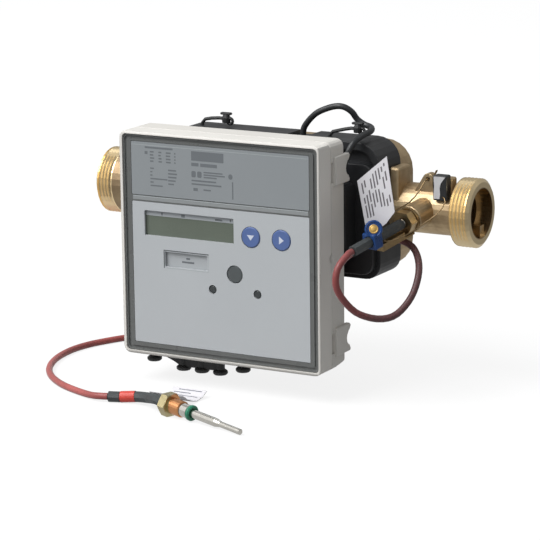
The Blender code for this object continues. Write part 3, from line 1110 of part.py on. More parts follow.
LEAD_REST = FLOOR_Z + LEAD_RADIUS
PORT_LEAD_ROUTE = [
    PORT_SLEEVE_END + PORT_DIRECTION * SEAT,
    PORT_SLEEVE_END + PORT_DIRECTION * 7 * MM,
    Vector((206.5 * MM, -85.0 * MM, -24.0 * MM)),
    Vector((206.5 * MM, -82.0 * MM, -36.0 * MM)),
    Vector((212.0 * MM, -76.0 * MM, -47.0 * MM)),
    Vector((222.0 * MM, -68.0 * MM, -53.5 * MM)),
    Vector((232.0 * MM, -60.0 * MM, -50.5 * MM)),
    Vector((238.5 * MM, -52.0 * MM, -42.0 * MM)),
    Vector((240.5 * MM, -45.0 * MM, -30.5 * MM)),
    Vector((237.0 * MM, -37.5 * MM, -21.8 * MM)),
    Vector((229.5 * MM, -30.0 * MM, -17.8 * MM)),
    Vector((220.0 * MM, -26.5 * MM, -15.2 * MM)),
    Vector((211.0 * MM, -29.5 * MM, -14.6 * MM)),
    Vector((203.5 * MM, -37.5 * MM, -17.2 * MM)),
    Vector((197.0 * MM, -40.0 * MM, -24.0 * MM)),
    Vector((192.0 * MM, -40.5 * MM, -34.0 * MM)),
    Vector((182.0 * MM, -37.0 * MM, -48.0 * MM)),
    Vector((171.0 * MM, -31.0 * MM, -65.0 * MM)),
    Vector((160.0 * MM, -24.0 * MM, -84.0 * MM)),
    Vector((149.5 * MM, -15.5 * MM, -98.5 * MM)),
    Vector((142.5 * MM, -5.0 * MM, LEAD_REST + 1.2 * MM)),
    Vector((139.9 * MM, 3.0 * MM, LEAD_REST + 0.1 * MM)),
    Vector((139.7 * MM, 8.6 * MM, LEAD_REST)),
]
PORT_TAIL_ROUTE = [
    Vector((box_x(PORT_LEAD_EXIT_X), BOX_BACK + 3.2 * MM + SEAT, box_z(LEAD_EXIT_Z))),
    Vector((box_x(PORT_LEAD_EXIT_X), BOX_BACK + 13 * MM, box_z(LEAD_EXIT_Z) - 0.6 * MM)),
    Vector((102.5 * MM, -24.0 * MM, -86.0 * MM)),
    Vector((92.0 * MM, -11.5 * MM, -99.5 * MM)),
    Vector((85.8 * MM, 0.0 * MM, LEAD_REST + 0.6 * MM)),
    Vector((84.3 * MM, 8.6 * MM, LEAD_REST)),
]
LOOSE_LEAD_ROUTE = [
    Vector((18.0 * MM, 29.1 * MM, LEAD_REST)),
    Vector((13.0 * MM, 18.0 * MM, LEAD_REST)),
    Vector((8.2 * MM, 9.8 * MM, LEAD_REST)),
    Vector((2.9 * MM, 2.4 * MM, LEAD_REST)),
    Vector((-2.4 * MM, -8.1 * MM, LEAD_REST)),
    Vector((-7.6 * MM, -21.7 * MM, LEAD_REST)),
    Vector((-9.8 * MM, -38.7 * MM, LEAD_REST)),
    Vector((-6.6 * MM, -60.6 * MM, LEAD_REST)),
    Vector((2.2 * MM, -81.5 * MM, LEAD_REST)),
    Vector((14.7 * MM, -98.0 * MM, LEAD_REST)),
    Vector((30.5 * MM, -111.0 * MM, LEAD_REST)),
    Vector((46.4 * MM, -119.3 * MM, LEAD_REST)),
    Vector((60.5 * MM, -125.3 * MM, LEAD_REST + 0.4 * MM)),
    Vector((67.6 * MM, -127.3 * MM, LEAD_REST + 1.1 * MM)),
    Vector((73.8 * MM, -126.3 * MM, LEAD_REST + 1.3 * MM)),
]
LOOSE_TAIL_ROUTE = [
    Vector((box_x(LOOSE_LEAD_EXIT_X), BOX_BACK + 3.2 * MM + SEAT, box_z(LEAD_EXIT_Z))),
    Vector((box_x(LOOSE_LEAD_EXIT_X), BOX_BACK + 13 * MM, box_z(LEAD_EXIT_Z) - 0.6 * MM)),
    Vector((82.5 * MM, -24.0 * MM, -86.0 * MM)),
    Vector((76.5 * MM, -11.5 * MM, -99.5 * MM)),
    Vector((73.4 * MM, 2.0 * MM, LEAD_REST + 0.8 * MM)),
    Vector((72.8 * MM, 15.0 * MM, LEAD_REST + 0.05 * MM)),
    Vector((72.7 * MM, 28.4 * MM, LEAD_REST)),
]
CONTROL_CABLE_ROUTE = [
    Vector((CABLE_NOTCH_X, CABLE_START_Y, 30.0 * MM)),
    Vector((CABLE_NOTCH_X, CABLE_START_Y, 42.0 * MM)),
    Vector((146.5 * MM, -8.2 * MM, 47.5 * MM)),
    Vector((153.5 * MM, -9.0 * MM, 54.2 * MM)),
    Vector((161.5 * MM, -8.5 * MM, 58.0 * MM)),
    Vector((168.0 * MM, -8.5 * MM, 59.6 * MM)),
    Vector((172.6 * MM, -7.5 * MM, 59.0 * MM)),
    Vector((176.4 * MM, -5.5 * MM, 56.0 * MM)),
    Vector((178.6 * MM, -3.6 * MM, 51.8 * MM)),
    Vector((183.0 * MM, -3.0 * MM, 48.8 * MM)),
    Vector((188.8 * MM, -5.0 * MM, 47.6 * MM)),
    Vector((192.6 * MM, -12.5 * MM, 46.8 * MM)),
    Vector((192.4 * MM, -22.5 * MM, 45.8 * MM)),
    Vector((191.8 * MM, -29.5 * MM, 44.2 * MM)),
    Vector((190.6 * MM, -34.0 * MM, 41.0 * MM)),
    Vector((189.2 * MM, -36.4 * MM, 36.4 * MM)),
    Vector((187.5 * MM, -37.2 * MM, 31.0 * MM)),
    Vector((184.6 * MM, -39.5 * MM, 24.6 * MM)),
    Vector((box_x(CABLE_EXIT[0]), BOX_BACK + 3.2 * MM + SEAT, box_z(CABLE_EXIT[1]))),
]


def make_leads():
    """Both sensor leads with their stored coils, and the cable between the housings."""
    tube("port_lead_loop", PORT_LEAD_ROUTE, LEAD_RADIUS, RED_LEAD, 9 * MM)
    coil("port_lead_coil", PORT_COIL_CENTRE)
    tube("port_lead_tail", PORT_TAIL_ROUTE, LEAD_RADIUS, RED_LEAD, 9 * MM)
    tube("loose_lead_run", LOOSE_LEAD_ROUTE, LEAD_RADIUS, RED_LEAD, 9 * MM)
    coil("loose_lead_coil", LOOSE_COIL_CENTRE)
    tube("loose_lead_tail", LOOSE_TAIL_ROUTE, LEAD_RADIUS, RED_LEAD, 9 * MM)
    tube("control_cable", CONTROL_CABLE_ROUTE, CABLE_RADIUS, BLACK_RUBBER, 6 * MM, 3)


def make_tie(name, foot, strap_points):
    """Rubber tie: a T-shaped head on a ring, and its strap to a socket in the cover's top."""
    x, y, z = foot
    cap = block(name, (x - 3.8 * MM, y - 1.5 * MM, z + 7.0 * MM), (x + 3.8 * MM, y + 1.5 * MM, z + 8.6 * MM),
                BLACK_RUBBER, bevel=0.7 * MM)
    stem = turned(name + "_stem", [(0, 7.4 * MM), (1.8 * MM, 7.4 * MM), (2.8 * MM, 5.2 * MM),
                                   (2.6 * MM, 2.2 * MM), (0, 2.2 * MM)],
                  foot, (0, 0, 1), None, 12, cutter=True)
    ring_middle = (x + 2.6 * MM, z + 3.2 * MM)
    sweep = [math.radians(degrees) for degrees in range(-150, 181, 30)]
    ring = [(ring_middle[0] + 1.9 * MM * math.cos(a), y, ring_middle[1] + 1.8 * MM * math.sin(a))
            for a in sweep]
    loop = tube_mesh(name + "_ring", ring, 1.0 * MM, BLACK_RUBBER, 1.5 * MM, cutter=True)
    start = (x, y, z + 4.6 * MM)
    strap = tube_mesh(name + "_strap", [start] + strap_points, 1.1 * MM, BLACK_RUBBER, 4 * MM, cutter=True)
    return join(cap, stem, loop, strap)


def make_ties():
    """The two rubber ties on top of the cover."""
    x, y, z = LEFT_TIE
    make_tie("tie_left", LEFT_TIE,
             [(x - 5 * MM, y, z + 4.7 * MM), (x - 10.5 * MM, y, z + 4.2 * MM),
              (x - 15 * MM, y, z + 3.3 * MM), (LEFT_SOCKET_X + 0.5 * MM, y, z + 1.2 * MM),
              (LEFT_SOCKET_X, y, z - 2 * MM), (LEFT_SOCKET_X, y, z - 5 * MM)])
    x, y, z = RIGHT_TIE
    make_tie("tie_right", RIGHT_TIE,
             [(x - 4.7 * MM, y, z + 4.5 * MM), (x - 11.5 * MM, y, z + 3.0 * MM),
              (x - 17.0 * MM, y, z + 1.6 * MM), (RIGHT_SOCKET_X + 0.3 * MM, y, z - 0.8 * MM),
              (RIGHT_SOCKET_X, y, z - 3 * MM), (RIGHT_SOCKET_X, y, z - 6 * MM)])


def shade():
    """Smooth shading on round pieces, with sharp edges kept."""
    for obj in METER.objects:
        if obj.type == "MESH":
            obj.data.shade_smooth()
            obj.data.set_sharp_from_angle(angle=math.radians(35))


make_flow_body()
make_measuring_parts()
make_sensor_cover()
make_housing_base()
make_front_hood()
make_front_panels()
make_front_controls()
make_inside()
make_rubber()
make_adapter()
make_port_sensor()
make_seal_bracket()
make_wire_seal()
make_port_tag()
make_seal_cap()
make_loose_sensor()
make_loose_tag()
make_leads()
make_ties()
shade()
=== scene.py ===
"""Looks of the ultrasonic heat meter: camera, light, materials and the fine pieces that the
solids leave out. Everything is in metres, in the frame of the solids.
"""
import math

import bmesh
import bpy
from mathutils import Matrix, Vector


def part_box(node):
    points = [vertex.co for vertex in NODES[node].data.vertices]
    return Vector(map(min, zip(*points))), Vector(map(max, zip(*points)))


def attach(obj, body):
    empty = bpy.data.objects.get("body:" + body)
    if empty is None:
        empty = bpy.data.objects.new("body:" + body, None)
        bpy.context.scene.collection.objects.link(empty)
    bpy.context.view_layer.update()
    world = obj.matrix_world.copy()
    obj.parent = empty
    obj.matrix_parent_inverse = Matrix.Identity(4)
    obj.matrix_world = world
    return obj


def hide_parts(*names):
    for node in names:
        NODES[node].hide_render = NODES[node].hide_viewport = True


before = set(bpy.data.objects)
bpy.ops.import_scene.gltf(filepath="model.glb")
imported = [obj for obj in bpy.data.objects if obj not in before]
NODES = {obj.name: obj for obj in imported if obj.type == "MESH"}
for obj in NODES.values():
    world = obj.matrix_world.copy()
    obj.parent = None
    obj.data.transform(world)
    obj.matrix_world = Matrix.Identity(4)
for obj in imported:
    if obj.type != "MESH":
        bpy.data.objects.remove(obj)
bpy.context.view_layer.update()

MM = 0.001

# Values repeated from the solids
BOX_LEFT, BOX_RIGHT = 55.8 * MM, 192.8 * MM
BOX_BOTTOM, BOX_TOP = -90.1 * MM, 47.9 * MM
BOX_FRONT = -78.4 * MM
PANEL_FRONT = BOX_FRONT + 1.0 * MM
KEY_FRONT = BOX_FRONT + 0.6 * MM
FLOOR_Z = -108 * MM
LEAD_RADIUS = 2.1 * MM
CABLE_RADIUS = 1.9 * MM
COIL_RADIUS = 23.5 * MM
LEAD_REST = FLOOR_Z + LEAD_RADIUS
BORE_EDGE = (12.6 * MM, 13.0 * MM)     # distances from the pipe axis
ENTRY_EDGE = (15.4 * MM, 15.8 * MM)
THREAD_ENDS = (12.2 * MM, 247.8 * MM)  # where the turned ends meet the cast pipe
# Where painted shade darkens the cast neck by the inlet
INLET_SHADE = (12 * MM, 70 * MM)
NUT_TIP = 124.8 * MM                   # where the loose nut turns coppery
LOOP_SHADE = (206 * MM, 226 * MM)       # where painted shade darkens the port lead and turns it brown
TAG_FRONT = -52.7 * MM                 # front of the hanging tag
SEAL_CENTRE = (218.3 * MM, -60.0 * MM, -2.0 * MM)
SEAL_FACING = (0.477, -0.851, 0.220)
DISPLAY_FRONT = BOX_FRONT + 2.8 * MM
PRINT_THICK = 0.05 * MM
THIN_PRINT = 0.02 * MM

# Values of the view
CAMERA_PLACE = (0.90891, -1.41635, 0.31707)
CAMERA_ANGLES = (29.27, 12.70, -0.72)  # yaw, pitch and roll in degrees
CAMERA_LENS = 177.5
CAMERA_FILM = 36


def tone(red, green, blue):
    """Linear colour from the three 8-bit values that a screen shows."""
    def linear(value):
        share = value / 255
        return share / 12.92 if share <= 0.04045 else ((share + 0.055) / 1.055) ** 2.4
    return (linear(red), linear(green), linear(blue), 1)


def face_x(millimetres):
    """X of a point measured from the calculator's left edge."""
    return BOX_LEFT + millimetres * MM


def face_z(millimetres):
    """Z of a point measured from the calculator's bottom edge."""
    return BOX_BOTTOM + millimetres * MM


# Camera
def make_camera():
    """The camera at the photograph's viewing angle."""
    yaw, pitch, roll = (math.radians(angle) for angle in CAMERA_ANGLES)
    forward = Vector((-math.sin(yaw) * math.cos(pitch), math.cos(yaw) * math.cos(pitch),
                      -math.sin(pitch)))
    level = Vector((math.cos(yaw), math.sin(yaw), 0))
    upright = level.cross(forward)
    right = level * math.cos(roll) + upright * math.sin(roll)
    up = upright * math.cos(roll) - level * math.sin(roll)
    data = bpy.data.cameras.new("camera")
    data.sensor_width = CAMERA_FILM
    data.lens = CAMERA_LENS
    data.clip_end = 60
    camera = bpy.data.objects.new("camera", data)
    bpy.context.scene.collection.objects.link(camera)
    turn = Matrix((right, up, -forward)).transposed().to_4x4()
    camera.matrix_world = Matrix.Translation(CAMERA_PLACE) @ turn
    bpy.context.scene.camera = camera


# Nodes of materials
class Tree:
    """A node tree under construction, with short calls for the usual nodes."""

    def __init__(self, owner):
        owner.use_nodes = True
        self.tree = owner.node_tree

    def node(self, kind, **settings):
        """A new node with its settings."""
        made = self.tree.nodes.new(kind)
        for key, value in settings.items():
            setattr(made, key, value)
        return made

    def wire(self, start, end):
        self.tree.links.new(start, end)

    def feed(self, socket, value):
        """Wire an output to a socket, or set the socket's own value."""
        if isinstance(value, (int, float, tuple)):
            socket.default_value = value
        else:
            self.wire(value, socket)

    def remap(self, value, low, high, to_low=0.0, to_high=1.0):
        """A value moved from one range to another, and held at its ends."""
        made = self.node("ShaderNodeMapRange")
        made.inputs["From Min"].default_value = low
        made.inputs["From Max"].default_value = high
        made.inputs["To Min"].default_value = to_low
        made.inputs["To Max"].default_value = to_high
        self.wire(value, made.inputs["Value"])
        return made.outputs["Result"]

    def math(self, operation, *values):
        made = self.node("ShaderNodeMath", operation=operation)
        for socket, value in zip(made.inputs, values):
            self.feed(socket, value)
        return made.outputs["Value"]

    def vectors(self, operation, *values):
        """A vector operation: its number for a length or dot product, else its vector."""
        made = self.node("ShaderNodeVectorMath", operation=operation)
        for socket, value in zip(made.inputs, values):
            self.feed(socket, value)
        return made.outputs["Value" if operation in ("LENGTH", "DOT_PRODUCT") else "Vector"]

    def axes(self, place):
        """The X, Y and Z outputs of a place."""
        split = self.node("ShaderNodeSeparateXYZ")
        self.wire(place, split.inputs["Vector"])
        return split.outputs


class Surface(Tree):
    """A material under construction, on the usual shader."""

    def __init__(self, name, colour, roughness, metallic=0.0):
        self.material = bpy.data.materials.new(name)
        super().__init__(self.material)
        self.shader = self.tree.nodes["Principled BSDF"]
        self.shader.inputs["Base Color"].default_value = colour
        self.shader.inputs["Roughness"].default_value = roughness
        self.shader.inputs["Metallic"].default_value = metallic
        self.place = self.node("ShaderNodeTexCoord").outputs["Object"]
        self.normal = None

    def stretched(self, scale):
        """Places stretched along the three axes, for a streaky noise."""
        mapping = self.node("ShaderNodeMapping")
        mapping.inputs["Scale"].default_value = scale
        self.wire(self.place, mapping.inputs["Vector"])
        return mapping.outputs["Vector"]

    def noise(self, scale, detail, rough, distortion=0.0, vector=None):
        made = self.node("ShaderNodeTexNoise")
        made.inputs["Scale"].default_value = scale
        made.inputs["Detail"].default_value = detail
        made.inputs["Roughness"].default_value = rough
        made.inputs["Distortion"].default_value = distortion
        self.wire(vector or self.place, made.inputs["Vector"])
        return made.outputs["Fac"]

    def mix(self, share, first, second):
        """A colour between two colours."""
        made = self.node("ShaderNodeMix", data_type="RGBA")
        self.wire(share, made.inputs["Factor"])
        for name, value in (("A", first), ("B", second)):
            self.feed(next(s for s in made.inputs if s.name == name and s.type == "RGBA"), value)
        return next(s for s in made.outputs if s.type == "RGBA")

    def bump(self, height, strength, distance):
        """One more layer of bumps on the surface."""
        made = self.node("ShaderNodeBump")
        made.inputs["Strength"].default_value = strength
        made.inputs["Distance"].default_value = distance
        self.wire(height, made.inputs["Height"])
        if self.normal:
            self.wire(self.normal, made.inputs["Normal"])
        self.normal = made.outputs["Normal"]

    def edges(self, radius):
        """How far a spot is on a worn edge: 0 on the flat, towards 1 on an edge."""
        bevel = self.node("ShaderNodeBevel", samples=4)
        bevel.inputs["Radius"].default_value = radius
        flat = self.node("ShaderNodeNewGeometry").outputs["Normal"]
        return self.remap(self.vectors("DOT_PRODUCT", bevel.outputs["Normal"], flat), 0.99, 0.80)

    def paint(self, colour, roughness):
        """The finished material, with its colour, roughness and bumps wired in."""
        self.wire(colour, self.shader.inputs["Base Color"])
        self.wire(roughness, self.shader.inputs["Roughness"])
        if self.normal:
            self.wire(self.normal, self.shader.inputs["Normal"])
        return self.material


def shift(colour, factor):
    """A darker or lighter version of a colour."""
    return (*(min(1.0, channel * factor) for channel in colour[:3]), 1)


def rim_drop(s):
    """Height that falls away towards the calculator's outline, which rounds its front rim."""
    width = 1.8 * MM
    axes = s.axes(s.place)
    reaches = []
    for axis, low, high in (("X", BOX_LEFT, BOX_RIGHT), ("Z", BOX_BOTTOM, BOX_TOP)):
        off = s.math("ABSOLUTE", s.math("SUBTRACT", axes[axis], (low + high) / 2))
        reaches.append(s.math("SUBTRACT", off, (high - low) / 2 - width))
    reach = s.math("MAXIMUM", s.math("MAXIMUM", *reaches), 0)
    return s.math("MULTIPLY", s.math("MULTIPLY", reach, reach), -0.5 / width)


def moulded(name, colour, roughness, spread=0.10, patch=90, grain=2200, depth=0.03,
            wear=0.0, dust=0.0, metallic=0.0, soft_rim=False):
    """Moulded plastic or rubber: soft tone patches, fine texture and lighter edges."""
    s = Surface(name, colour, roughness, metallic)
    if soft_rim:
        s.bump(rim_drop(s), 1.0, 1.0)
    patches = s.noise(patch, 4, 0.6)
    paint = s.mix(patches, shift(colour, 1 - spread), shift(colour, 1 + spread))
    if dust:
        specks = s.remap(s.noise(grain * 0.5, 5, 0.7), 0.62, 0.75, 0.0, dust)
        paint = s.mix(specks, paint, shift(colour, 2.2))
    if wear:
        paint = s.mix(s.math("MULTIPLY", s.edges(0.5 * MM), wear), paint, shift(colour, 2.6))
    fine = s.noise(grain, 2, 0.6)
    s.bump(fine, 0.35, depth * MM)
    rough = s.remap(patches, 0.3, 0.7, roughness - 0.06, roughness + 0.06)
    return s.paint(paint, rough)


def cast_share(s):
    """How far a spot is on the cast middle of the pipe, 0 on its turned ends."""
    blend = 0.4 * MM
    along = s.axes(s.place)["X"]
    start, end = THREAD_ENDS
    return s.math("MULTIPLY", s.remap(along, start - blend, start, 0.0, 1.0),
                  s.remap(along, end, end + blend, 1.0, 0.0))


def pipe_tones_and_shade(s, paint, cast, light, dark):
    """The pipe's tones: bright turned ends, a dull bore, and painted shade that darkens the neck
    by the inlet.
    """
    paint = s.mix(cast, shift(light, 1.32), paint)
    across = s.vectors("LENGTH", s.vectors("MULTIPLY", s.place, (0, 1, 1)))
    in_bore = s.remap(across, *BORE_EDGE, 1.0, 0.0)
    in_entry = s.remap(across, *ENTRY_EDGE, 1.0, 0.0)
    in_entry = s.math("MULTIPLY", in_entry, s.math("SUBTRACT", 1.0, cast))
    dulled = s.math("MULTIPLY", s.math("MAXIMUM", in_bore, in_entry), 0.6)
    paint = s.mix(dulled, paint, shift(dark, 0.85))
    # Painted shade: the cast neck by the inlet is darker.
    neck_shade = s.remap(s.axes(s.place)["X"], *INLET_SHADE, 0.7, 0.0)
    return s.mix(s.math("MULTIPLY", neck_shade, cast), paint, shift(dark, 0.5))


def brass(name, light, dark, roughness, skin=0.5, pipe=False, tip=None):
    """Brass with a sandy skin; the pipe is smooth where turned, and a tip is coppery."""
    s = Surface(name, light, roughness, 1.0)
    cloud = s.noise(55, 5, 0.62, 0.4)
    stain = s.remap(s.noise(160, 5, 0.7, 0.6), 0.42, 0.72)
    paint = s.mix(s.remap(cloud, 0.15, 0.85), light, dark)
    paint = s.mix(s.math("MULTIPLY", stain, 0.3), paint, shift(dark, 0.7))
    height = s.math("ADD", s.math("MULTIPLY", s.noise(1300, 4, 0.7), 0.6),
                    s.math("MULTIPLY", s.noise(260, 3, 0.5), 0.9))
    rough = s.remap(cloud, 0.25, 0.75, roughness - 0.06, roughness + 0.08)
    if pipe:
        cast = cast_share(s)
        paint = pipe_tones_and_shade(s, paint, cast, light, dark)
        height = s.math("MULTIPLY", height, s.math("ADD", s.math("MULTIPLY", cast, 0.9), 0.1))
        rough = s.math("MULTIPLY", rough, s.math("ADD", s.math("MULTIPLY", cast, 0.35), 0.65))
    s.bump(height, skin, 0.12 * MM)
    if tip:
        past = s.remap(s.axes(s.place)["X"], NUT_TIP - 0.3 * MM, NUT_TIP + 0.3 * MM)
        paint = s.mix(past, paint, s.mix(cloud, shift(tip, 0.8), shift(tip, 1.15)))
    return s.paint(paint, rough)


def steel(name, colour, roughness):
    """Turned stainless steel with fine rings across its length and faint tarnish."""
    s = Surface(name, colour, roughness, 1.0)
    cloud = s.noise(240, 4, 0.6)
    paint = s.mix(cloud, shift(colour, 0.78), shift(colour, 1.1))
    rings = s.noise(900, 2, 0.5, vector=s.stretched((4.0, 0.35, 0.35)))
    s.bump(rings, 0.06, 0.01 * MM)
    return s.paint(paint, s.remap(rings, 0.3, 0.7, roughness - 0.05, roughness + 0.06))


def foil(name, colour, roughness):
    """Printed front foil: even colour with slight clouding and a pebbled gloss."""
    s = Surface(name, colour, roughness)
    s.shader.inputs["Coat Weight"].default_value = 0.25
    s.shader.inputs["Coat Roughness"].default_value = 0.2
    cloud = s.noise(22, 3, 0.5)
    paint = s.mix(cloud, shift(colour, 0.965), shift(colour, 1.035))
    dots = s.node("ShaderNodeTexVoronoi", feature="F1")
    dots.inputs["Scale"].default_value = 1500
    s.wire(s.place, dots.inputs["Vector"])
    s.bump(dots.outputs["Distance"], 0.12, 0.02 * MM)
    return s.paint(paint, s.remap(cloud, 0.3, 0.7, roughness - 0.04, roughness + 0.04))


def silicone(name, colour, roughness, shade_tone=None):
    """Soft cord jacket with a faint bloom, uneven along its length; a shade tone paints shade,
    darker and browner, towards the port lead's loop.
    """
    s = Surface(name, colour, roughness)
    s.shader.inputs["Sheen Weight"].default_value = 0.25
    s.shader.inputs["Sheen Roughness"].default_value = 0.4
    along = s.noise(35, 4, 0.6)
    speck = s.noise(700, 4, 0.7)
    paint = s.mix(s.remap(along, 0.3, 0.7), shift(colour, 0.72), shift(colour, 1.18))
    # Painted shade: the lead turns darker and browner along X towards its loop.
    if shade_tone:
        paint = s.mix(s.remap(s.axes(s.place)["X"], *LOOP_SHADE), paint, shade_tone)
    paint = s.mix(s.remap(speck, 0.55, 0.8, 0.0, 0.35), paint, shift(colour, 1.7))
    s.bump(speck, 0.3, 0.06 * MM)
    return s.paint(paint, s.remap(speck, 0.3, 0.7, roughness - 0.08, roughness + 0.1))


def shrunk(name, colour):
    """Heat-shrunk sleeve: dull, with soft lengthwise wrinkles."""
    s = Surface(name, colour, 0.55)
    wrinkle = s.noise(320, 4, 0.65, 0.8)
    paint = s.mix(wrinkle, shift(colour, 0.7), shift(colour, 1.45))
    s.bump(wrinkle, 0.5, 0.25 * MM)
    return s.paint(paint, s.remap(wrinkle, 0.3, 0.7, 0.42, 0.66))


def paper(name, colour):
    """Matt label paper with fibres and slight smudges."""
    s = Surface(name, colour, 0.6)
    fibre = s.noise(1400, 5, 0.7, vector=s.stretched((1.0, 0.3, 2.2)))
    smudge = s.noise(60, 4, 0.6)
    paint = s.mix(smudge, shift(colour, 0.9), shift(colour, 1.05))
    paint = s.mix(s.remap(fibre, 0.6, 0.8, 0.0, 0.25), paint, shift(colour, 0.8))
    s.bump(fibre, 0.3, 0.04 * MM)
    return s.paint(paint, s.remap(smudge, 0.3, 0.7, 0.5, 0.68))


def display(name, colour):
    """The display behind its glass: grey-green, with soft clouding and fine darker specks."""
    s = Surface(name, colour, 0.16)
    s.shader.inputs["Coat Weight"].default_value = 0.6
    s.shader.inputs["Coat Roughness"].default_value = 0.08
    cloud = s.noise(30, 3, 0.5)
    fine = s.noise(2600, 1, 0.5)
    paint = s.mix(cloud, shift(colour, 0.86), shift(colour, 1.12))
    paint = s.mix(s.remap(fine, 0.4, 0.6, 0.0, 0.12), paint, shift(colour, 0.6))
    s.bump(fine, 0.05, 0.01 * MM)
    return s.paint(paint, s.remap(cloud, 0.3, 0.7, 0.12, 0.22))


HOOD = moulded("hood_plastic", tone(224, 221, 215), 0.46, 0.03, 40, 1800, 0.03, soft_rim=True)
# Painted shade: the base is a shade darker than the hood, to darken its sides.
BASE = moulded("base_plastic", tone(214, 211, 205), 0.5, 0.04, 40, 1800, 0.03)
BAND = moulded("band_plastic", tone(101, 103, 102), 0.3, 0.06, 60, 1500, 0.02, wear=0.25)
LABEL = foil("label_foil", tone(141, 146, 149), 0.42)
PANEL = foil("panel_foil", tone(183, 187, 190), 0.42)
LCD = display("display_glass", tone(104, 112, 101))
STRIP = foil("display_strip", tone(166, 171, 175), 0.35)
DIVIDER = foil("divider_face", tone(142, 146, 147), 0.4)
KEY = moulded("key_blue", tone(86, 108, 160), 0.38, 0.06, 200, 2400, 0.02)
WHITE_PRINT = foil("white_print", tone(208, 214, 228), 0.5)
# Dark strips on the window's top and left edges: painted shade of its recess.
PAINTED_SHADE = foil("painted_shade_foil", tone(84, 88, 92), 0.5)
# Pale strips along the edges of the label, divider and window: painted highlights.
PAINTED_HIGHLIGHT = foil("painted_highlight_foil", tone(168, 174, 176), 0.5)
LABEL_PRINT = foil("label_print", tone(106, 111, 115), 0.5)
WINDOW = foil("window_plastic", tone(172, 176, 179), 0.4)
LENS = moulded("lens_plastic", tone(84, 89, 90), 0.22, 0.08, 180, 2400, 0.01)
SMALL_LENS = moulded("small_plug_plastic", tone(62, 66, 67), 0.3, 0.1, 200, 2400, 0.02)
SHELL = moulded("white_shell", tone(224, 224, 224), 0.5, 0.04, 80, 1800, 0.02)
BOARD = moulded("board_lacquer", tone(38, 108, 62), 0.32, 0.12, 300, 2600, 0.03, wear=0.3)
CELL = moulded("cell_wrap", tone(120, 132, 150), 0.3, 0.05, 60, 1500, 0.02, wear=0.3)
BLACK = moulded("black_plastic", tone(38, 39, 41), 0.44, 0.16, 70, 1500, 0.06,
                wear=0.16, dust=0.06)
RUBBER = moulded("black_rubber", tone(34, 35, 36), 0.56, 0.18, 120, 1300, 0.06,
                 wear=0.12, dust=0.12)
CABLE = moulded("cable_jacket", tone(40, 42, 44), 0.42, 0.12, 90, 1600, 0.04, dust=0.08)
BRASS = brass("cast_brass", tone(224, 204, 164), tone(168, 142, 112), 0.48, pipe=True)
NUT_BRASS = brass("nut_brass", tone(212, 200, 160), tone(164, 152, 112), 0.28, 0.2,
                  tip=tone(214, 152, 104))
PORT_BRASS = brass("port_nut_brass", tone(216, 192, 148), tone(166, 142, 104), 0.34, 0.2)
BRACKET_BRASS = brass("bracket_brass", tone(206, 182, 140), tone(150, 126, 92), 0.42, 0.3)
STEEL = steel("probe_steel", tone(222, 219, 211), 0.18)
TUBE_STEEL = steel("tube_steel", tone(188, 186, 180), 0.3)
LEAD = silicone("red_silicone", tone(166, 82, 78), 0.46)
# The port lead is a darker copy of the red silicone, with painted shade towards its loop.
PORT_LEAD = silicone("shaded_silicone", tone(150, 70, 68), 0.46, tone(86, 54, 55))
RED = silicone("red_marking", tone(222, 74, 60), 0.42)
GREEN = silicone("green_ring", tone(36, 128, 96), 0.4)
SLEEVE = shrunk("shrunk_sleeve", tone(60, 64, 65))
SEAL_BLUE = moulded("seal_blue", tone(22, 64, 124), 0.3, 0.12, 260, 2400, 0.03, wear=0.1)
TAG = paper("tag_paper", tone(226, 224, 228))
TAG_PRINT = paper("tag_print", tone(104, 100, 104))
WIRE = steel("seal_wire", tone(150, 128, 96), 0.35)
SEAL_GOLD = moulded("seal_gold", tone(226, 186, 110), 0.3, 0.1, 300, 2400, 0.03, metallic=0.6)
CAP_FOIL = foil("cap_foil", tone(204, 204, 206), 0.3)
TAG_LINE = paper("tag_line", tone(120, 122, 132))

FINISHES = {
    "front_hood": HOOD, "housing_base": BASE, "hood_seal": HOOD, "band_frame": BAND,
    "label_panel": LABEL, "face_panel": PANEL, "lcd_glass": LCD, "lcd_carrier": SHELL,
    "window_plate": WINDOW, "button_down": KEY, "button_right": KEY, "optical_lens": LENS,
    "plug_left": SMALL_LENS, "plug_right": SMALL_LENS, "circuit_board": BOARD,
    "comm_module": BOARD, "battery_pack": CELL, "terminal_block": BLACK, "switch_down": BLACK,
    "switch_right": BLACK, "adapter_plate": BLACK, "sensor_cover": BLACK, "seal_cap": BLACK,
    "plug_strip": RUBBER, "plug_single": RUBBER, "grommet_port_lead": RUBBER,
    "grommet_loose_lead": RUBBER, "grommet_control": RUBBER, "tie_left": RUBBER,
    "tie_right": RUBBER, "flow_body": BRASS, "measuring_tube": TUBE_STEEL,
    "reflector_inlet": TUBE_STEEL, "reflector_outlet": TUBE_STEEL, "transducer_inlet": SHELL,
    "transducer_outlet": SHELL, "transducer_seal_inlet": RUBBER,
    "transducer_seal_outlet": RUBBER, "port_probe": STEEL, "loose_probe": STEEL,
    "port_nut": PORT_BRASS, "loose_nut": NUT_BRASS, "port_ring": GREEN, "loose_ring": GREEN,
    "port_sleeve": SLEEVE, "loose_sleeve": SLEEVE, "loose_band": RED,
    "seal_bracket": BRACKET_BRASS, "wire_seal": SEAL_BLUE, "seal_wire": WIRE,
    "port_tag": TAG, "loose_tag": TAG,
}


def dress_solids():
    """Give every solid its material. Those of the leads are in no list."""
    for name, obj in NODES.items():
        obj.data.materials.clear()
        obj.data.materials.append(FINISHES.get(name, LEAD))


# Pieces in mesh code
SHARP_DEGREES = 35


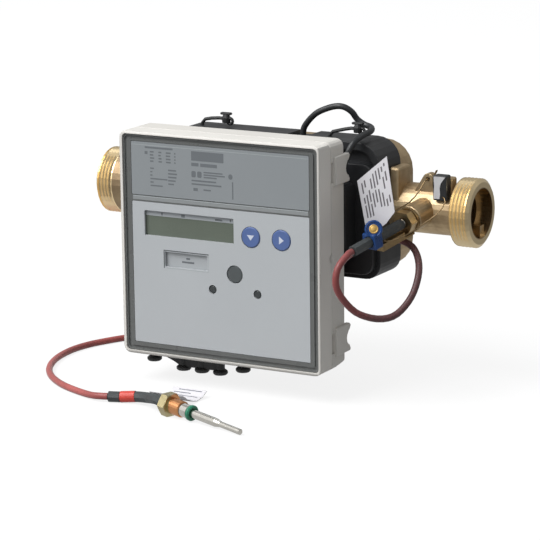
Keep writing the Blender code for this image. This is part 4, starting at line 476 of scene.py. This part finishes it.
def add_mesh(name, vertices, faces, material, body="root"):
    """A new piece from points and faces, riding on a body."""
    mesh = bpy.data.meshes.new(name)
    mesh.from_pydata([tuple(vertex) for vertex in vertices], [], faces)
    mesh.validate()
    work = bmesh.new()
    work.from_mesh(mesh)
    bmesh.ops.recalc_face_normals(work, faces=work.faces)
    work.to_mesh(mesh)
    work.free()
    mesh.shade_smooth()
    mesh.set_sharp_from_angle(angle=math.radians(SHARP_DEGREES))
    mesh.materials.append(material)
    obj = bpy.data.objects.new(name, mesh)
    bpy.context.scene.collection.objects.link(obj)
    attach(obj, body)


def rounded_outline(x0, z0, x1, z1, radius, steps=4):
    """Corner points of a rectangle with rounded corners."""
    points = []
    corners = ((x1 - radius, z1 - radius, 0), (x0 + radius, z1 - radius, 90),
               (x0 + radius, z0 + radius, 180), (x1 - radius, z0 + radius, 270))
    for x, z, start in corners:
        for step in range(steps + 1):
            angle = math.radians(start + 90 * step / steps)
            points.append((x + radius * math.cos(angle), z + radius * math.sin(angle)))
    return points


def print_field(outlines, front, proud=PRINT_THICK):
    """Points and faces of thin printed fields lying on a panel's front."""
    vertices, faces = [], []
    for outline in outlines:
        first, count = len(vertices), len(outline)
        vertices += [(x, front - proud, z) for x, z in outline]
        vertices += [(x, front + PRINT_THICK, z) for x, z in outline]
        faces.append([first + i for i in range(count)])
        faces.append([first + count + i for i in reversed(range(count))])
        for i in range(count):
            j = (i + 1) % count
            faces.append([first + i, first + j, first + count + j, first + count + i])
    return vertices, faces


def bar(x0, z0, x1, z1, radius=0.15):
    """Outline of a printed bar, in millimetres from the box's lower left corner."""
    return rounded_outline(face_x(x0), face_z(z0), face_x(x1), face_z(z1), radius * MM, 2)


def lines_of(x, z, lengths, pitch, height):
    """Short printed lines under each other, standing for lines of words."""
    return [bar(x, z - pitch * row, x + length, z - pitch * row + height, 0.1)
            for row, length in enumerate(lengths)]


def add_prints(name, outlines, material, front=PANEL_FRONT, proud=PRINT_THICK):
    """A set of printed fields as one piece."""
    vertices, faces = print_field(outlines, front, proud)
    add_mesh(name, vertices, faces, material)


def make_prints():
    """Generic printed fields on the two front foils, without any words, with painted highlights
    and painted shade along the label's and window's edges.
    """
    label = lines_of(17.5, 128.0, (19.5,), 1, 1.1)
    label += lines_of(17.3, 124.4, (2.0,), 1, 1.8)
    for x, lengths in ((21.0, (2.6, 2.4, 2.9, 2.4)), (27.0, (2.0, 1.6, 2.1, 2.3)),
                       (32.2, (3.4, 3.0, 3.2, 3.3)), (38.0, (0.9, 0.9, 0.9, 0.9))):
        label += lines_of(x, 125.6, lengths, 1.9, 0.9)
    label += lines_of(21.0, 115.6, (2.6, 1.4, 1.4, 12.0, 2.2, 8.5), 2.1, 0.8)
    label += lines_of(33.5, 115.2, (5.6, 6.2, 5.8, 5.2, 4.0), 2.1, 0.9)
    label += lines_of(49.8, 119.6, (5.0,), 1, 2.0) + lines_of(56.0, 119.5, (11.5,), 1, 2.0)
    label += lines_of(49.8, 110.4, (17.0, 20.5), 2.1, 0.9)
    label += lines_of(51.0, 104.6, (3.0,), 1, 1.8) + lines_of(58.0, 105.2, (5.0,), 1, 0.9)
    label += [bar(77.6, 101.5, 78.4, 112.0, 0.1), bar(49.8, 112.8, 52.8, 116.6, 0.8),
              bar(53.8, 112.8, 56.8, 116.6, 0.8), bar(75.2, 113.4, 78.0, 116.6, 1.2)]
    label += lines_of(58.2, 115.9, (13.0, 14.5, 9.0), 1.5, 0.8)
    add_prints("label_print", label, LABEL_PRINT)
    add_prints("label_field", [bar(49.8, 122.9, 72.0, 128.6, 0.2)], LABEL_PRINT)
    # Painted highlights: pale lines along the top of the divider and the top of the label.
    pale = [bar(8.4, 98.1, 128.6, 98.6, 0.1), bar(8.4, 129.7, 128.6, 130.0, 0.1)]
    add_prints("label_edge_highlights", pale, PAINTED_HIGHLIGHT)
    add_prints("divider_face", [bar(8.3, 96.1, 128.7, 98.0, 0.3)], DIVIDER)
    # Painted shade: dark strips along the window's top and left edges.
    shade = [bar(29.2, 66.0, 60.7, 66.6, 0.1), bar(29.2, 55.4, 29.9, 66.0, 0.1)]
    add_prints("window_shade", shade, PAINTED_SHADE)
    # Painted highlight: pale lines along the window's bottom and right edges.
    light = [bar(29.9, 55.4, 60.7, 55.7, 0.1), bar(60.4, 55.7, 60.7, 66.0, 0.1)]
    add_prints("window_highlight", light, PAINTED_HIGHLIGHT)
    marks = lines_of(44.0, 61.4, (2.6,), 1, 1.2) + lines_of(41.0, 59.2, (8.5,), 1, 1.1)
    window_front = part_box("window_plate")[0][1]
    add_prints("window_marks", marks, LABEL_PRINT, window_front, 0.03 * MM)


def make_display():
    """The display's light strip and the small signs on it."""
    strip = [bar(16.4, 86.6, 77.9, 89.6, 0.2)]
    add_prints("display_strip", strip, STRIP, DISPLAY_FRONT, THIN_PRINT)
    signs = [bar(27.0, 87.2, 28.0, 88.9), bar(41.0, 87.2, 43.6, 88.9),
             bar(64.5, 87.2, 69.5, 88.3), bar(74.6, 87.2, 75.4, 88.9)]
    add_prints("display_signs", signs, LABEL_PRINT, DISPLAY_FRONT - 0.03 * MM, THIN_PRINT)


def strokes(rows, start, along, across, width):
    """Short printed strokes in slanting rows; each row is a place and its stroke ends."""
    outlines = []
    for place, *spans in rows:
        for begin, end in spans:
            corners = []
            for length, side in ((begin, 0), (end, 0), (end, width), (begin, width)):
                spot = start + along * length + across * (place + side)
                corners.append((spot.x, spot.y))
            outlines.append(corners)
    return outlines


def make_port_tag_print():
    """Rows of strokes, standing for lines of words on the hanging tag."""
    start = Vector((203.9, 24.2)) * MM
    along = Vector((0.199, -0.980)) * MM
    across = Vector((0.767, 0.640)) * MM
    rows = [(2.6, (3.2, 9.5), (12.0, 15.5), (16.6, 24.0)), (4.9, (2.8, 7.0), (11.5, 25.0)),
            (7.2, (10.0, 17.0), (18.2, 25.4)), (9.6, (4.5, 10.5), (13.0, 21.5)),
            (12.0, (3.0, 11.5), (12.6, 20.0)), (14.4, (2.6, 11.0), (13.5, 24.0)),
            (16.8, (2.4, 9.0), (17.0, 25.0)), (19.2, (3.0, 6.0), (9.0, 16.0), (22.0, 26.4)),
            (21.6, (2.2, 4.0), (7.0, 12.5), (21.0, 25.4))]
    marks = strokes(rows, start, along, across, 1.0)
    add_prints("port_tag_print", marks, TAG_PRINT, TAG_FRONT)


def make_loose_tag_print():
    """Four thin lines across the top of the curled tag."""
    top = FLOOR_Z + 0.4 * MM
    curl = [Vector(point) for point in ((-115.0, 4.6), (-109.0, 1.8), (-103.0, 0.5),
                                        (-97.0, 1.4), (-91.5, 3.8))]
    half_width, sunk, proud = 0.35, -0.05, 0.06
    lines = ((-1.4, 101.5, 113.0), (1.4, 103.5, 119.5))
    vertices, faces = [], []
    for before, after in zip(curl, curl[1:]):
        slope = (after - before).normalized()
        for offset, left, right in lines:
            first = len(vertices)
            for lift in (sunk, proud):
                for x, side in ((left, -half_width), (right, -half_width),
                                (right, half_width), (left, half_width)):
                    spot = (before + after) / 2 + slope * (offset + side)
                    vertices.append((x * MM, (spot.x - slope.y * lift) * MM,
                                     top + (spot.y + slope.x * lift) * MM))
            faces += [[first + i for i in (0, 1, 2, 3)], [first + i for i in (7, 6, 5, 4)]]
            faces += [[first + i, first + (i + 1) % 4, first + 4 + (i + 1) % 4, first + 4 + i]
                      for i in range(4)]
    add_mesh("loose_tag_print", vertices, faces, TAG_LINE)


def make_cap_foil():
    """Silver foil, folded over the front of the sealing cap."""
    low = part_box("seal_cap")[0]
    outline = [(0.7, 1.2), (4.6, 1.2), (5.0, 4.4), (4.7, 7.6), (5.4, 10.6), (7.4, 13.4),
               (8.4, 14.5), (4.6, 14.6), (0.7, 14.5), (1.1, 9.0)]
    corners = [(low[0] + x * MM, low[2] + z * MM) for x, z in outline]
    add_prints("seal_cap_foil", [corners], CAP_FOIL, low[1], 0.12 * MM)


def make_seal_centre():
    """Gold pressing in the middle of the blue seal's face: a low dome with a ring."""
    facing = Vector(SEAL_FACING).normalized()
    level = Vector((0, 0, 1)).cross(facing).normalized()
    upward = facing.cross(level)
    centre = Vector(SEAL_CENTRE)
    profile = [(2.7, 1.9), (2.7, 2.45), (2.3, 2.6), (1.9, 2.45), (1.2, 2.7), (0.5, 2.8)]
    vertices, faces = [], []
    count = 24
    for radius, height in profile:
        for step in range(count):
            angle = 2 * math.pi * step / count
            ring = level * math.cos(angle) + upward * math.sin(angle)
            vertices.append(centre + (facing * height + ring * radius) * MM)
    for ring in range(len(profile) - 1):
        for step in range(count):
            after = (step + 1) % count
            start = ring * count
            faces.append([start + step, start + after, start + count + after,
                          start + count + step])
    faces.append([(len(profile) - 1) * count + step for step in range(count)])
    faces.append([step for step in reversed(range(count))])
    add_mesh("wire_seal_centre", vertices, faces, SEAL_GOLD)


def make_key_signs():
    """White triangles on the two blue keys: one points down, the other right."""
    for body, x, flat in (("button_down", 89.9, True), ("button_right", 110.5, False)):
        corners = []
        for along, across in ((1.9, 0.0), (-1.3, 2.4), (-1.3, -2.4)):
            if flat:
                along, across = across, -along
            corners.append((face_x(x) + along * MM, face_z(79.8) + across * MM))
        vertices, faces = print_field([corners], KEY_FRONT)
        add_mesh(body + "_sign", vertices, faces, WHITE_PRINT, body)


# Leads
def smooth_route(points, spacing):
    """Points about a spacing apart on a smooth curve through the route's own points."""
    route = [Vector(point) for point in points]
    ends = [2 * route[0] - route[1]] + route + [2 * route[-1] - route[-2]]
    smooth = [route[0]]
    for before, start, end, after in zip(ends, ends[1:], ends[2:], ends[3:]):
        pieces = max(1, round((end - start).length / spacing))
        for piece in range(1, pieces + 1):
            t = piece / pieces
            smooth.append(0.5 * ((2 * start) + (end - before) * t
                                 + (2 * before - 5 * start + 4 * end - after) * t ** 2
                                 + (3 * start - before - 3 * end + after) * t ** 3))
    return smooth


def route_mm(rows):
    """Route points written in millimetres, as vectors in metres."""
    return [Vector(row) * MM for row in rows]


COIL_PLACES = [(2, 0), (1, 0), (0, 0), (0, 1), (0, 2), (1, 2), (2, 2), (2, 1), (2, 0)]
COIL_SHIFTS = [30, 390, 690, 1050, 1350, 1710, 2010, 2255]  # degrees along the turns
SHIFT_SPAN = 60
COIL_DEGREES = 6 * 360 + 180
COIL_STEP = 8
PORT_COIL = (112 * MM, 25 * MM)
LOOSE_COIL = (45 * MM, 45 * MM)
LEAD_SPACING = 3 * MM
CABLE_SPACING = 1.5 * MM


def coil_turns(centre, start, sense):
    """A stored lead's turns: six and a half, side by side and on each other."""
    points = []
    for along in range(0, COIL_DEGREES + 1, COIL_STEP):
        place = Vector(COIL_PLACES[0])
        for number, begin in enumerate(COIL_SHIFTS):
            share = min(1.0, max(0.0, (along - begin) / SHIFT_SPAN))
            share = share * share * (3 - 2 * share)
            place += (Vector(COIL_PLACES[number + 1]) - Vector(COIL_PLACES[number])) * share
        radius = COIL_RADIUS + (place.x - 1) * 2 * LEAD_RADIUS
        angle = math.radians(start + sense * along)
        points.append(Vector((centre[0] + radius * math.cos(angle),
                              centre[1] + radius * math.sin(angle),
                              LEAD_REST + place.y * 2 * LEAD_RADIUS)))
    return points


def cord_curve(name, points, radius, material):
    """One open curve with a round section."""
    curve = bpy.data.curves.new(name, "CURVE")
    curve.dimensions = "3D"
    curve.bevel_depth = radius
    curve.bevel_resolution = 4
    curve.use_fill_caps = True
    spline = curve.splines.new("POLY")
    spline.points.add(len(points) - 1)
    for point, place in zip(spline.points, points):
        point.co = (*place, 1)
    curve.materials.append(material)
    obj = bpy.data.objects.new(name, curve)
    bpy.context.scene.collection.objects.link(obj)
    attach(obj, "root")
    return obj


PORT_TAIL = route_mm([(107.8, -44.9, -76.1), (107.8, -35.4, -76.7), (102.5, -24.0, -86.0),
                      (92.0, -11.5, -99.5), (85.8, 0.0, -105.3), (84.3, 8.6, -105.9)])
PORT_LOOP = route_mm([(139.7, 8.6, -105.9), (139.9, 3.0, -105.8), (142.5, -5.0, -104.7),
                      (149.0, -15.5, -98.5), (157.5, -25.0, -84.0), (166.5, -33.0, -67.0),
                      (173.5, -39.5, -52.5), (178.5, -43.4, -42.5), (183.2, -45.6, -34.3),
                      (188.9, -46.1, -27.6), (195.0, -44.0, -22.2), (201.2, -38.9, -18.2),
                      (207.2, -33.4, -15.7), (213.0, -29.6, -14.7), (219.5, -27.2, -14.9),
                      (228.5, -29.2, -17.7), (236.1, -36.9, -23.4), (239.8, -44.8, -31.6),
                      (239.5, -53.4, -42.0), (235.1, -62.8, -50.4), (229.2, -70.2, -52.5),
                      (221.4, -76.9, -50.5), (215.1, -83.1, -45.0), (210.2, -91.0, -32.4),
                      (210.4, -90.4, -20.6)])
PORT_AXIS = Vector((-0.20410, -0.96018, -0.19081))
PORT_HEART = Vector((230, 0, 3))
PORT_LOOP += [(PORT_HEART + PORT_AXIS * distance) * MM for distance in (84, 81.3)]
LOOSE_TAIL = route_mm([(85.8, -44.9, -76.1), (85.8, -35.4, -76.7), (82.5, -24.0, -86.0),
                       (76.5, -11.5, -99.5), (73.4, 2.0, -105.1), (72.8, 15.0, -105.85),
                       (72.7, 28.4, -105.9)])
LOOSE_RUN = route_mm([(18.0, 29.1, -105.9), (13.0, 18.0, -105.9), (8.2, 9.8, -105.9),
                      (2.9, 2.4, -105.9), (-2.4, -8.1, -105.9), (-7.6, -21.7, -105.9),
                      (-9.8, -38.7, -105.9), (-6.6, -60.6, -105.9), (2.2, -81.5, -105.9),
                      (14.7, -98.0, -105.9), (30.5, -111.0, -105.9), (46.4, -119.3, -105.9),
                      (60.5, -125.3, -105.5), (67.6, -127.3, -104.8), (73.8, -126.3, -104.6)])


def lead_points(tail, turns, run):
    """One curve's points: out of the grommet, round the coil and on to the sensor."""
    start = smooth_route(tail + turns[:1], LEAD_SPACING)
    end = smooth_route(turns[-1:] + run, LEAD_SPACING)
    return start + turns[1:-1] + end


def make_leads():
    """The two red leads of the temperature sensors."""
    points = lead_points(PORT_TAIL, coil_turns(PORT_COIL, 180, -1), PORT_LOOP)
    lead = cord_curve("port_lead", points, LEAD_RADIUS, PORT_LEAD)
    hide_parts("port_lead_tail", "port_lead_coil", "port_lead_loop")
    points = lead_points(LOOSE_TAIL, coil_turns(LOOSE_COIL, 0, 1), LOOSE_RUN)
    lead = cord_curve("loose_lead", points, LEAD_RADIUS, LEAD)
    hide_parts("loose_lead_tail", "loose_lead_coil", "loose_lead_run")


CONTROL_ROUTE = route_mm([
    (144.0, -8.0, 30.0), (144.0, -8.0, 42.0), (146.5, -8.2, 47.5), (153.5, -9.0, 54.2),
    (161.5, -8.5, 58.0), (168.0, -8.5, 59.6), (172.6, -7.5, 59.0), (176.4, -5.5, 56.0),
    (178.6, -3.6, 51.8), (183.0, -3.0, 48.8), (188.8, -5.0, 47.6), (192.6, -12.5, 46.8),
    (192.4, -22.5, 45.8), (191.8, -29.5, 44.2), (190.6, -34.0, 41.0), (189.2, -36.4, 36.4),
    (187.5, -37.2, 31.0), (184.6, -39.5, 24.6), (183.8, -44.9, 21.9)])


def make_coil_ties():
    """A small band round each stored coil's turns. Its bottom stays just above the floor."""
    half, thick, width = 3.1 * LEAD_RADIUS, 0.5 * MM, 1.6 * MM
    middle = LEAD_REST + 2 * LEAD_RADIUS
    inner = rounded_outline(-half, -2.9 * LEAD_RADIUS, half, half, 1.6 * MM)
    outer = rounded_outline(-half - thick, -2.99 * LEAD_RADIUS, half + thick, half + thick,
                            2.0 * MM)
    count = len(inner)
    for name, centre, degrees in (("port_coil_tie", PORT_COIL, 90),
                                  ("loose_coil_tie", LOOSE_COIL, 120)):
        angle = math.radians(degrees)
        outward = Vector((math.cos(angle), math.sin(angle), 0))
        sideways = Vector((-math.sin(angle), math.cos(angle), 0))
        heart = Vector((*centre, middle)) + outward * COIL_RADIUS
        vertices, faces = [], []
        for outline in (inner, outer):
            for side in (-width, width):
                vertices += [heart + outward * x + sideways * side + Vector((0, 0, z))
                             for x, z in outline]
        for first, second in ((0, count), (2 * count, 3 * count), (0, 2 * count),
                              (count, 3 * count)):
            faces += [[first + i, first + (i + 1) % count, second + (i + 1) % count,
                       second + i] for i in range(count)]
        add_mesh(name, vertices, faces, CABLE)


def make_control_cable():
    """The short black cable from the flow sensor's cover to the calculator."""
    points = smooth_route(CONTROL_ROUTE, CABLE_SPACING)
    cable = cord_curve("control_lead", points, CABLE_RADIUS, CABLE)
    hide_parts("control_cable")


# Stage and light
FLOOR_HALF = 9.0
FLOOR_GREY = (0.33, 0.33, 0.33, 1)
FLOOR_GLOW = 1.67
FLOOR_GLOW_SHARE = 0.5
SHINE_REACH = (0.15, 0.5)        # metres from the origin
SHINE = (0.72, 0.22)             # what reflections see of the floor, near and far
ROOM_LEAN = -0.55                # the room is darker towards +X
ROOM_REACH = (-0.5, 1.0)
ROOM_LIGHT = (0.08, 0.72)
ROOM_TINT = (0.97, 0.985, 1.0, 1)
BRIGHT_SIDE = (-0.5, -0.75, 0.43)
REFLECTION_REACH = (0.30, 0.72)
REFLECTION = (0.42, 1.15)        # what reflections see of the room, away and bright side
REFLECTION_TINT = (0.8, 0.8, 0.8, 1)
LAMP_TARGET = (0.13, -0.03, -0.02)


class Backdrop(Tree):
    """The tree of the floor or the surroundings, which shows the camera its own tone."""

    def __init__(self, owner, output):
        super().__init__(owner)
        self.tree.nodes.clear()
        self.output = self.node(output).inputs["Surface"]

    def source(self, kind, strength, colour=(1, 1, 1, 1)):
        """A glow or background of a strength."""
        made = self.node(kind)
        made.inputs["Color"].default_value = colour
        self.feed(made.inputs["Strength"], strength)
        return made.outputs[0]

    def blend(self, share, first, second):
        """A tone between two tones."""
        made = self.node("ShaderNodeMixShader")
        self.wire(share, made.inputs["Fac"])
        self.wire(first, made.inputs[1])
        self.wire(second, made.inputs[2])
        return made.outputs["Shader"]

    def ray(self, kind):
        return self.node("ShaderNodeLightPath").outputs[kind]

    def seen_share(self, amount):
        """An amount for camera and transmission rays, and none for the others."""
        seen = self.math("MAXIMUM", self.ray("Is Camera Ray"), self.ray("Is Transmission Ray"))
        return self.math("MULTIPLY", seen, amount)


def make_floor():
    """Pale floor that keeps the shadow and shows white to the camera."""
    mesh = bpy.data.meshes.new("floor")
    corners = [(-FLOOR_HALF, -FLOOR_HALF), (FLOOR_HALF, -FLOOR_HALF), (FLOOR_HALF, FLOOR_HALF),
               (-FLOOR_HALF, FLOOR_HALF)]
    mesh.from_pydata([(x, y, FLOOR_Z) for x, y in corners], [], [(0, 1, 2, 3)])
    floor = bpy.data.objects.new("floor", mesh)
    bpy.context.scene.collection.objects.link(floor)
    material = bpy.data.materials.new("floor_white")
    s = Backdrop(material, "ShaderNodeOutputMaterial")
    diffuse = s.node("ShaderNodeBsdfDiffuse")
    diffuse.inputs["Color"].default_value = FLOOR_GREY
    glow = s.source("ShaderNodeEmission", FLOOR_GLOW)
    lit = s.blend(s.seen_share(FLOOR_GLOW_SHARE), diffuse.outputs["BSDF"], glow)
    away = s.vectors("LENGTH", s.node("ShaderNodeTexCoord").outputs["Object"])
    mirrored = s.source("ShaderNodeEmission", s.remap(away, *SHINE_REACH, *SHINE))
    s.wire(s.blend(s.ray("Is Glossy Ray"), lit, mirrored), s.output)
    mesh.materials.append(material)


def make_world():
    """White surroundings to the camera; a softly graded room as light and reflection."""
    world = bpy.data.worlds.new("studio")
    bpy.context.scene.world = world
    s = Backdrop(world, "ShaderNodeOutputWorld")
    place = s.node("ShaderNodeTexCoord").outputs["Generated"]
    axes = s.axes(place)
    lean = s.math("MULTIPLY_ADD", axes["X"], ROOM_LEAN, axes["Z"])
    soft = s.source("ShaderNodeBackground", s.remap(lean, *ROOM_REACH, *ROOM_LIGHT), ROOM_TINT)
    front = s.vectors("DOT_PRODUCT", place, BRIGHT_SIDE)
    shiny = s.source("ShaderNodeBackground", s.remap(front, *REFLECTION_REACH, *REFLECTION),
                     REFLECTION_TINT)
    room = s.blend(s.ray("Is Glossy Ray"), soft, shiny)
    white = s.source("ShaderNodeBackground", 1.0)
    s.wire(s.blend(s.seen_share(1.0), room, white), s.output)


def make_light(name, place, size, power):
    """A square soft light that faces the meter."""
    data = bpy.data.lights.new(name, "AREA")
    data.size = size
    data.energy = power
    light = bpy.data.objects.new(name, data)
    bpy.context.scene.collection.objects.link(light)
    aim = (Vector(LAMP_TARGET) - Vector(place)).to_track_quat("-Z", "Y")
    light.matrix_world = Matrix.Translation(place) @ aim.to_matrix().to_4x4()


def make_studio():
    """Floor, surroundings and lamps."""
    make_floor()
    make_world()
    make_light("key_light", (-1.5, -2.3, 3.3), 2.8, 190)
    make_light("rim_light", (1.8, 1.9, 2.6), 1.0, 5)


make_camera()
make_leads()
make_coil_ties()
make_control_cable()
make_studio()
dress_solids()
make_prints()
make_display()
make_key_signs()
make_port_tag_print()
make_loose_tag_print()
make_cap_foil()
make_seal_centre()

bpy.context.scene.view_settings.view_transform = "Standard"
bpy.context.view_layer.update()
